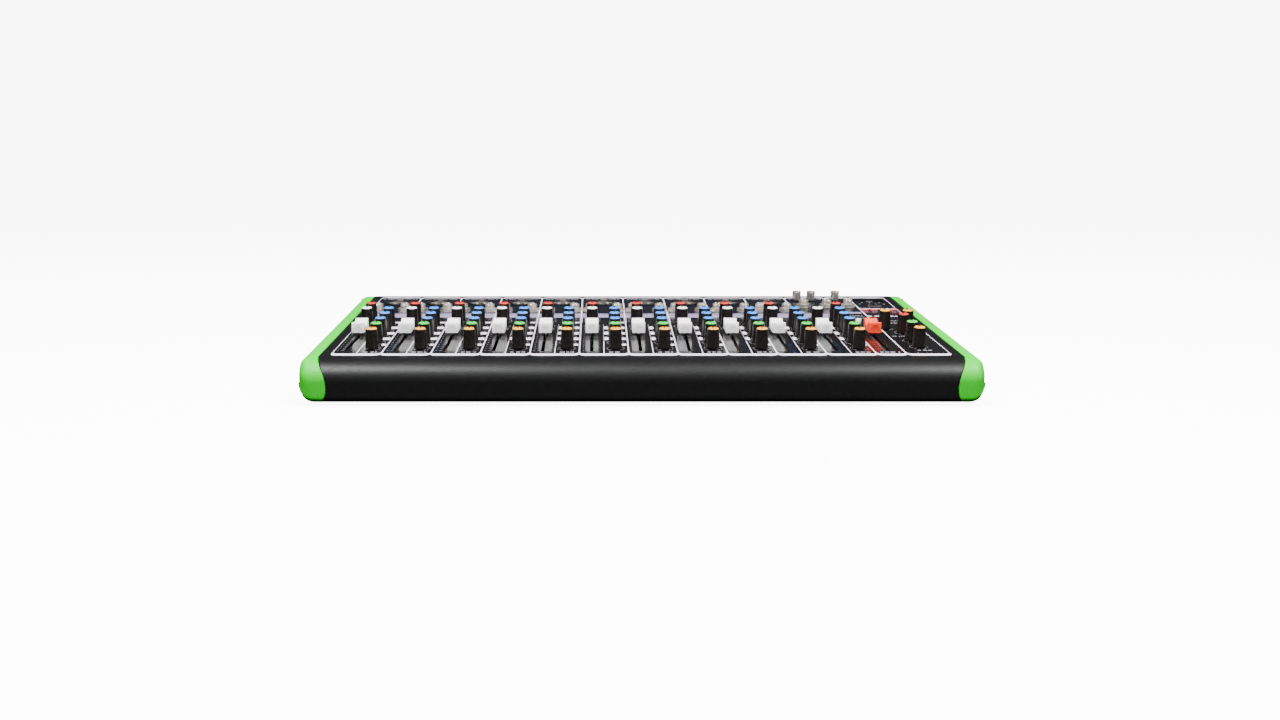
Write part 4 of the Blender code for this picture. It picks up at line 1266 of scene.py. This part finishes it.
@dataclass(frozen=True)
class PlayerPanel:
    """The player's smoked window with its indicator dots, port and board."""

    inset: float = 0.35 * MM
    top: float = -0.4 * MM
    board_top: float = -12 * MM
    port: tuple[float, float, float] = (12.6 * MM, 216 * MM, 219 * MM)

    def build(self) -> None:
        """Builds the window block round the port, the switches and the board."""
        left, right = WINDOW_X[0] + self.inset, WINDOW_X[1] - self.inset
        front, rear = WINDOW_Y[0] + self.inset, WINDOW_Y[1] - self.inset
        middle = (left + right) / 2
        width, port_front, port_rear = self.port
        port = (middle - width / 2, middle + width / 2)
        bm = bmesh.new()
        add_box(bm, (left, port_rear, self.board_top), (right, rear, self.top), 0.25 * MM, 1)
        add_box(bm, (left, front, self.board_top), (right, port_front, self.top), 0.25 * MM, 1)
        for x in ((left, port[0]), (port[1], right)):
            add_box(bm, (x[0], port_front - 0.3 * MM, self.board_top), (x[1], port_rear + 0.3 * MM, self.top), 0, 1)
        shell = 0.35 * MM
        for y in (port_front, port_rear - shell):
            add_box(bm, (port[0], y, -9 * MM), (port[1], y + shell, self.top + 0.1 * MM), 0, 3)
        for x in (port[0], port[1] - shell):
            add_box(bm, (x, port_front, -9 * MM), (x + shell, port_rear, self.top + 0.1 * MM), 0, 3)
        add_box(bm, (port[0] + 1.2 * MM, port_front + 1.1 * MM, -9 * MM), (port[1] - 1.2 * MM, port_front + 1.9 * MM,
                -1.2 * MM), 0, 2)
        add_box(bm, (DECK.column(11.58), 186 * MM, self.board_top - 1.6 * MM), (251 * MM, 254 * MM, self.board_top),
                0.3 * MM, 0)
        for x, y in KEYS.values():
            add_box(bm, (x - 2.6 * MM, y - 2.6 * MM, self.board_top), (x + 2.6 * MM, y + 2.6 * MM, -8 * MM), 0.3 * MM, 2)
        for row, places in ((228 * MM, (0.08, 0.4, 0.62, 0.9)), (236 * MM, (0.2, 0.47, 0.78)), (243 * MM, (0.42, 0.5, 0.58))):
            for place in places:
                x, y = left + place * (right - left), row
                add_box(bm, (x - 0.7 * MM, y - 0.8 * MM, self.top - 0.1 * MM), (x + 0.7 * MM, y + 0.8 * MM,
                        self.top + 0.03 * MM), 0, 4)
        panel = DECK.make(bm, "player_panel", [LAMINATE, WINDOW, SOCKET_BLACK, NICKEL, PRINT_GREY])
        settle(panel, stands_for=["player_module"])


# ---------------------------------------------------------------- rear and underside
def add_screw(bm: bmesh.types.BMesh, place: Matrix, radius: float = 2.6 * MM, index: int = 0) -> None:
    """A pan-head screw with a crossed recess, its head along the place's Z."""
    head = ((0, -0.2 * MM), (radius, -0.2 * MM), (radius, 0.3 * MM), (radius * 0.85, 0.8 * MM),
            (radius * 0.5, 1.05 * MM), (0, 1.1 * MM))
    add_turned(bm, head, 20, index, place)
    for size in ((radius * 0.55, 0.35 * MM), (0.35 * MM, radius * 0.55)):
        add_box(bm, (-size[0], -size[1], 1.0 * MM), (size[0], size[1], 1.14 * MM), 0, index + 1, place)


def build_rear() -> None:
    """Rear panel, mains inlet and power rocker."""
    low, high = (Vector(corner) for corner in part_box("rear_panel"))
    inlet_low, inlet_high = (Vector(corner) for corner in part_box("mains_inlet"))
    inlet = (inlet_low + inlet_high) / 2
    upright = Matrix.Rotation(math.pi / 2, 4, "X")
    bm = bmesh.new()
    outline = rounded((low.x, low.z), (high.x, high.z), 1.2 * MM)
    add_slab(bm, outline, -high.y, -low.y, 0, upright)
    face = Matrix.Rotation(-math.pi / 2, 4, "X")
    for x in (-248 * MM, -124 * MM, 0.0, 124 * MM, 248 * MM):
        for z in (low.z + 5 * MM, high.z - 5 * MM):
            if abs(x - inlet.x) > 60 * MM or z > inlet_high.z:
                add_screw(bm, Matrix.Translation((x, high.y, z)) @ face, 2.4 * MM, 1)
    panel = make(bm, "rear_panel_sheet", [PAN_COAT, ZINC, SOCKET_BLACK])
    opening = bmesh.new()
    add_box(opening, (inlet.x - 25 * MM, 140 * MM, inlet.z - 13 * MM), (inlet.x + 25 * MM, 150 * MM, inlet.z + 13 * MM))
    cut(panel, opening)
    settle(panel, stands_for=["rear_panel"])

    bm = bmesh.new()
    add_slab(bm, rounded((inlet_low.x, inlet_low.z), (inlet_high.x, inlet_high.z), 3 * MM, 6),
             -inlet_high.y, -147.1 * MM, 0, upright)
    add_box(bm, (inlet.x - 24.6 * MM, inlet_low.y, inlet.z - 12.6 * MM), (inlet.x + 24.6 * MM, 147.4 * MM,
            inlet.z + 12.6 * MM))
    moulding = make(bm, "mains_inlet_moulding", [SOCKET_BLACK, NICKEL])
    hollow = bmesh.new()
    socket_x = inlet.x - 9 * MM
    half, tall, corner = 12.2 * MM, 8.3 * MM, 3.6 * MM
    mouth = [(socket_x - half, inlet.z - tall), (socket_x + half, inlet.z - tall), (socket_x + half, inlet.z + tall
              - corner), (socket_x + half - corner, inlet.z + tall), (socket_x - half + corner, inlet.z + tall),
             (socket_x - half, inlet.z + tall - corner)]
    add_slab(hollow, mouth, -150 * MM, -131 * MM, 0, upright)
    rocker_x = inlet.x + 15 * MM
    add_box(hollow, (rocker_x - 7 * MM, 131 * MM, inlet.z - 10.6 * MM), (rocker_x + 7 * MM, 150 * MM,
            inlet.z + 10.6 * MM))
    cut(moulding, hollow)
    settle(moulding, stands_for=["mains_inlet"])
    bm = bmesh.new()
    for x, z in ((-7 * MM, -1 * MM), (7 * MM, -1 * MM), (0, 3 * MM)):
        add_box(bm, (socket_x + x - 1 * MM, 130.8 * MM, inlet.z + z - 2 * MM),
                (socket_x + x + 1 * MM, 142 * MM, inlet.z + z + 2 * MM), 0.4 * MM)
    for x in (inlet_low.x + 2.6 * MM, inlet_high.x - 2.6 * MM):
        add_screw(bm, Matrix.Translation((x, 147.4 * MM, inlet.z)) @ face @ Matrix.Scale(0.5, 4), 2.2 * MM, 1)
    settle(make(bm, "mains_inlet_pins", [NICKEL, ZINC, SOCKET_BLACK]))

    bm = bmesh.new()
    half = 6.6 * MM
    sides = [(5.8, 9.2), (4.4, 0), (5.8, -9.2), (-1.5, -8.4), (-6, -2.5), (-6, 2.5), (-1.5, 8.4)]
    axis = Vector(joint("power_rocker_tilt")["pos_m"])
    place = Matrix.Translation((rocker_x, axis.y, axis.z)) @ Matrix.Rotation(math.radians(-10), 4, "X")
    new = bmesh.new()
    flat = new.faces.new([new.verts.new((-half, y * MM, z * MM)) for y, z in sides])
    made = bmesh.ops.extrude_face_region(new, geom=[flat])["geom"]
    bmesh.ops.translate(new, vec=(2 * half, 0, 0), verts=[v for v in made if isinstance(v, bmesh.types.BMVert)])
    face_outwards(new)
    bmesh.ops.bevel(new, geom=new.edges, offset=0.4 * MM, segments=2, profile=0.5, affect="EDGES", material=-1)
    pour(new, bm, 0, place)
    add_box(bm, (-2.4 * MM, 4.9 * MM, 4.6 * MM), (2.4 * MM, 5.25 * MM, 5.3 * MM), 0, 1, place)
    ring = ((1.7 * MM, 0), (2.3 * MM, 0), (2.3 * MM, 0.4 * MM), (1.7 * MM, 0.4 * MM))
    add_turned(bm, ring, 24, 1, place @ Matrix.Translation((0, 4.85 * MM, -5.2 * MM)) @ face)
    settle(make(bm, "power_rocker_key", [SOCKET_BLACK, PRINT_WHITE]), "power_rocker",
           ["power_rocker"])


def build_underside() -> None:
    """Base pan with pressed ribs and screws, the feet, and the power supply on the pan."""
    low, high = (Vector(corner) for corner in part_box("base_pan"))
    plate = 1.4 * MM
    bm = bmesh.new()
    add_box(bm, low, (high.x, high.y, low.z + plate), 0.4 * MM)
    outline = [(high.y, low.z + 0.4 * MM), (low.y, low.z + 0.4 * MM), (low.y, low.z + 3.7 * MM)]
    outline += PROFILE.front(PROFILE.lip + 0.3 * MM)
    outline.append((high.y, PROFILE.deck_height(high.y, SHEET + 0.3 * MM)))
    for x in (low.x, high.x - 1.6 * MM):
        new = bmesh.new()
        flat = new.faces.new([new.verts.new((x, *point)) for point in outline])
        made = bmesh.ops.extrude_face_region(new, geom=[flat])["geom"]
        bmesh.ops.translate(new, vec=(1.6 * MM, 0, 0), verts=[v for v in made if isinstance(v, bmesh.types.BMVert)])
        face_outwards(new)
        pour(new, bm, 0)
    below = Matrix.Rotation(math.pi, 4, "X")
    for x in (-170, -85, 0, 85, 170):
        for y in (-118, 132):
            add_screw(bm, Matrix.Translation((x * MM, y * MM, low.z)) @ below, 2.4 * MM, 1)
    for x in (-150 * MM, 0.0, 150 * MM):
        new = bmesh.new()
        add_slab(new, rounded((x - 48 * MM, -80 * MM), (x + 48 * MM, 95 * MM), 8 * MM, 6), low.z - 0.8 * MM,
                 low.z + 0.4 * MM)
        rims = [edge for edge in new.edges if all(vert.co.z < low.z for vert in edge.verts)]
        bmesh.ops.bevel(new, geom=rims, offset=0.7 * MM, segments=3, profile=0.5, affect="EDGES", material=-1)
        pour(new, bm, 0)
    settle(make(bm, "base_pan_pressing", [PAN_COAT, ZINC, SOCKET_BLACK]), stands_for=["base_pan"])

    for name in ("foot_front_left", "foot_front_right", "foot_rear_left", "foot_rear_right"):
        start, end = (Vector(corner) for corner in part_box(name))
        centre = (start + end) / 2
        bm = bmesh.new()
        foot = ((2.8 * MM, 0.9 * MM), (3.4 * MM, 0), (7.6 * MM, 0), (8.2 * MM, 0.35 * MM), (9 * MM, 2.7 * MM),
                (2.8 * MM, 2.7 * MM))
        place = Matrix.Translation((centre.x, centre.y, 0))
        add_turned(bm, foot, 40, 0, place)
        stem = ((0, 0.9 * MM), (2.7 * MM, 0.9 * MM), (2.7 * MM, 1.6 * MM), (1.9 * MM, 1.9 * MM), (1.9 * MM, 7.5 * MM),
                (0, 7.5 * MM))
        add_turned(bm, stem, 20, 1, place)
        settle(make(bm, f"{name}_bumper", [RUBBER, ZINC]), stands_for=[name])

    node = frame["nodes"]["power_supply"]
    node.data.materials.clear()
    node.data.materials.append(ZINC.build())


# ---------------------------------------------------------------- studio
@dataclass(frozen=True)
class Studio:
    """Floor, soft boxes, sky and camera."""

    lens: float = 36.98
    shift: float = 0.0336
    tilt: float = 81.7
    eye: tuple[float, float, float] = (-0.0355, -1.1688, 0.1861)
    sky: float = 0.06
    backdrop: float = 9.0

    def lamp(self, name: str, place: Sequence[float], target: Sequence[float], size: tuple[float, float],
             power: float, glossy: bool = True) -> None:
        """A rectangular soft box aimed at a point; without gloss it lights but shows no reflection."""
        light = bpy.data.lights.new(name, "AREA")
        light.shape, light.size, light.size_y, light.energy = "RECTANGLE", size[0], size[1], power
        holder = bpy.data.objects.new(name, light)
        holder.location, holder.visible_glossy = place, glossy
        holder.rotation_euler = (Vector(target) - Vector(place)).to_track_quat("-Z", "Y").to_euler()
        bpy.context.scene.collection.objects.link(holder)

    def build(self) -> None:
        """Sets everything up."""
        world = bpy.data.worlds.new("soft_sky")
        world.use_nodes = True
        tree = world.node_tree
        background = tree.nodes["Background"]
        seen = tree.nodes.new("ShaderNodeLightPath").outputs["Is Camera Ray"]
        strength = tree.nodes.new("ShaderNodeMapRange")
        strength.inputs["To Min"].default_value = self.sky
        strength.inputs["To Max"].default_value = self.backdrop
        tree.links.new(seen, strength.inputs["Value"])
        tree.links.new(strength.outputs["Result"], background.inputs["Strength"])
        background.inputs["Color"].default_value = (1, 1, 1, 1)
        bpy.context.scene.world = world
        bm = bmesh.new()
        bmesh.ops.create_grid(bm, x_segments=8, y_segments=8, size=6)
        floor = make(bm, "studio_floor", [Finish("floor_paper", (0.9, 0.9, 0.9), rough=0.8, wander=0.01)])
        paper = floor.data.materials[0].node_tree.nodes["Principled BSDF"]
        paper.inputs["Emission Color"].default_value = (1, 1, 1, 1)
        paper.inputs["Emission Strength"].default_value = self.backdrop
        floor.visible_glossy = floor.visible_diffuse = False
        self.lamp("left_softbox", (-0.8, -0.78, 1.55), (0, -0.1, 0), (0.9, 0.55), 45)
        self.lamp("right_softbox", (1.15, -0.78, 1.55), (0, -0.1, 0), (0.9, 0.55), 52)
        self.lamp("top_softbox", (0, -0.35, 1.8), (0, 0, 0), (1.6, 1.0), 110, glossy=False)
        camera = bpy.data.cameras.new("camera")
        camera.lens, camera.shift_x, camera.sensor_width = self.lens, self.shift, 36
        camera.clip_start = 0.01
        holder = bpy.data.objects.new("camera", camera)
        holder.location = self.eye
        holder.rotation_euler = (math.radians(self.tilt), 0, 0)
        bpy.context.scene.collection.objects.link(holder)
        bpy.context.scene.camera = holder


def main() -> None:
    """Builds the studio and every piece of the console, in order."""
    Studio().build()
    CoverShell().build()
    Cheek("left_cheek", -1).build()
    Cheek("right_cheek", 1).build()
    PanelPrint().build()
    build_knobs()
    build_faders()
    build_buttons()
    build_control_board()
    build_socket_boards()
    PlayerPanel().build()
    build_rear()
    build_underside()


if __name__ == "__main__":
    main()
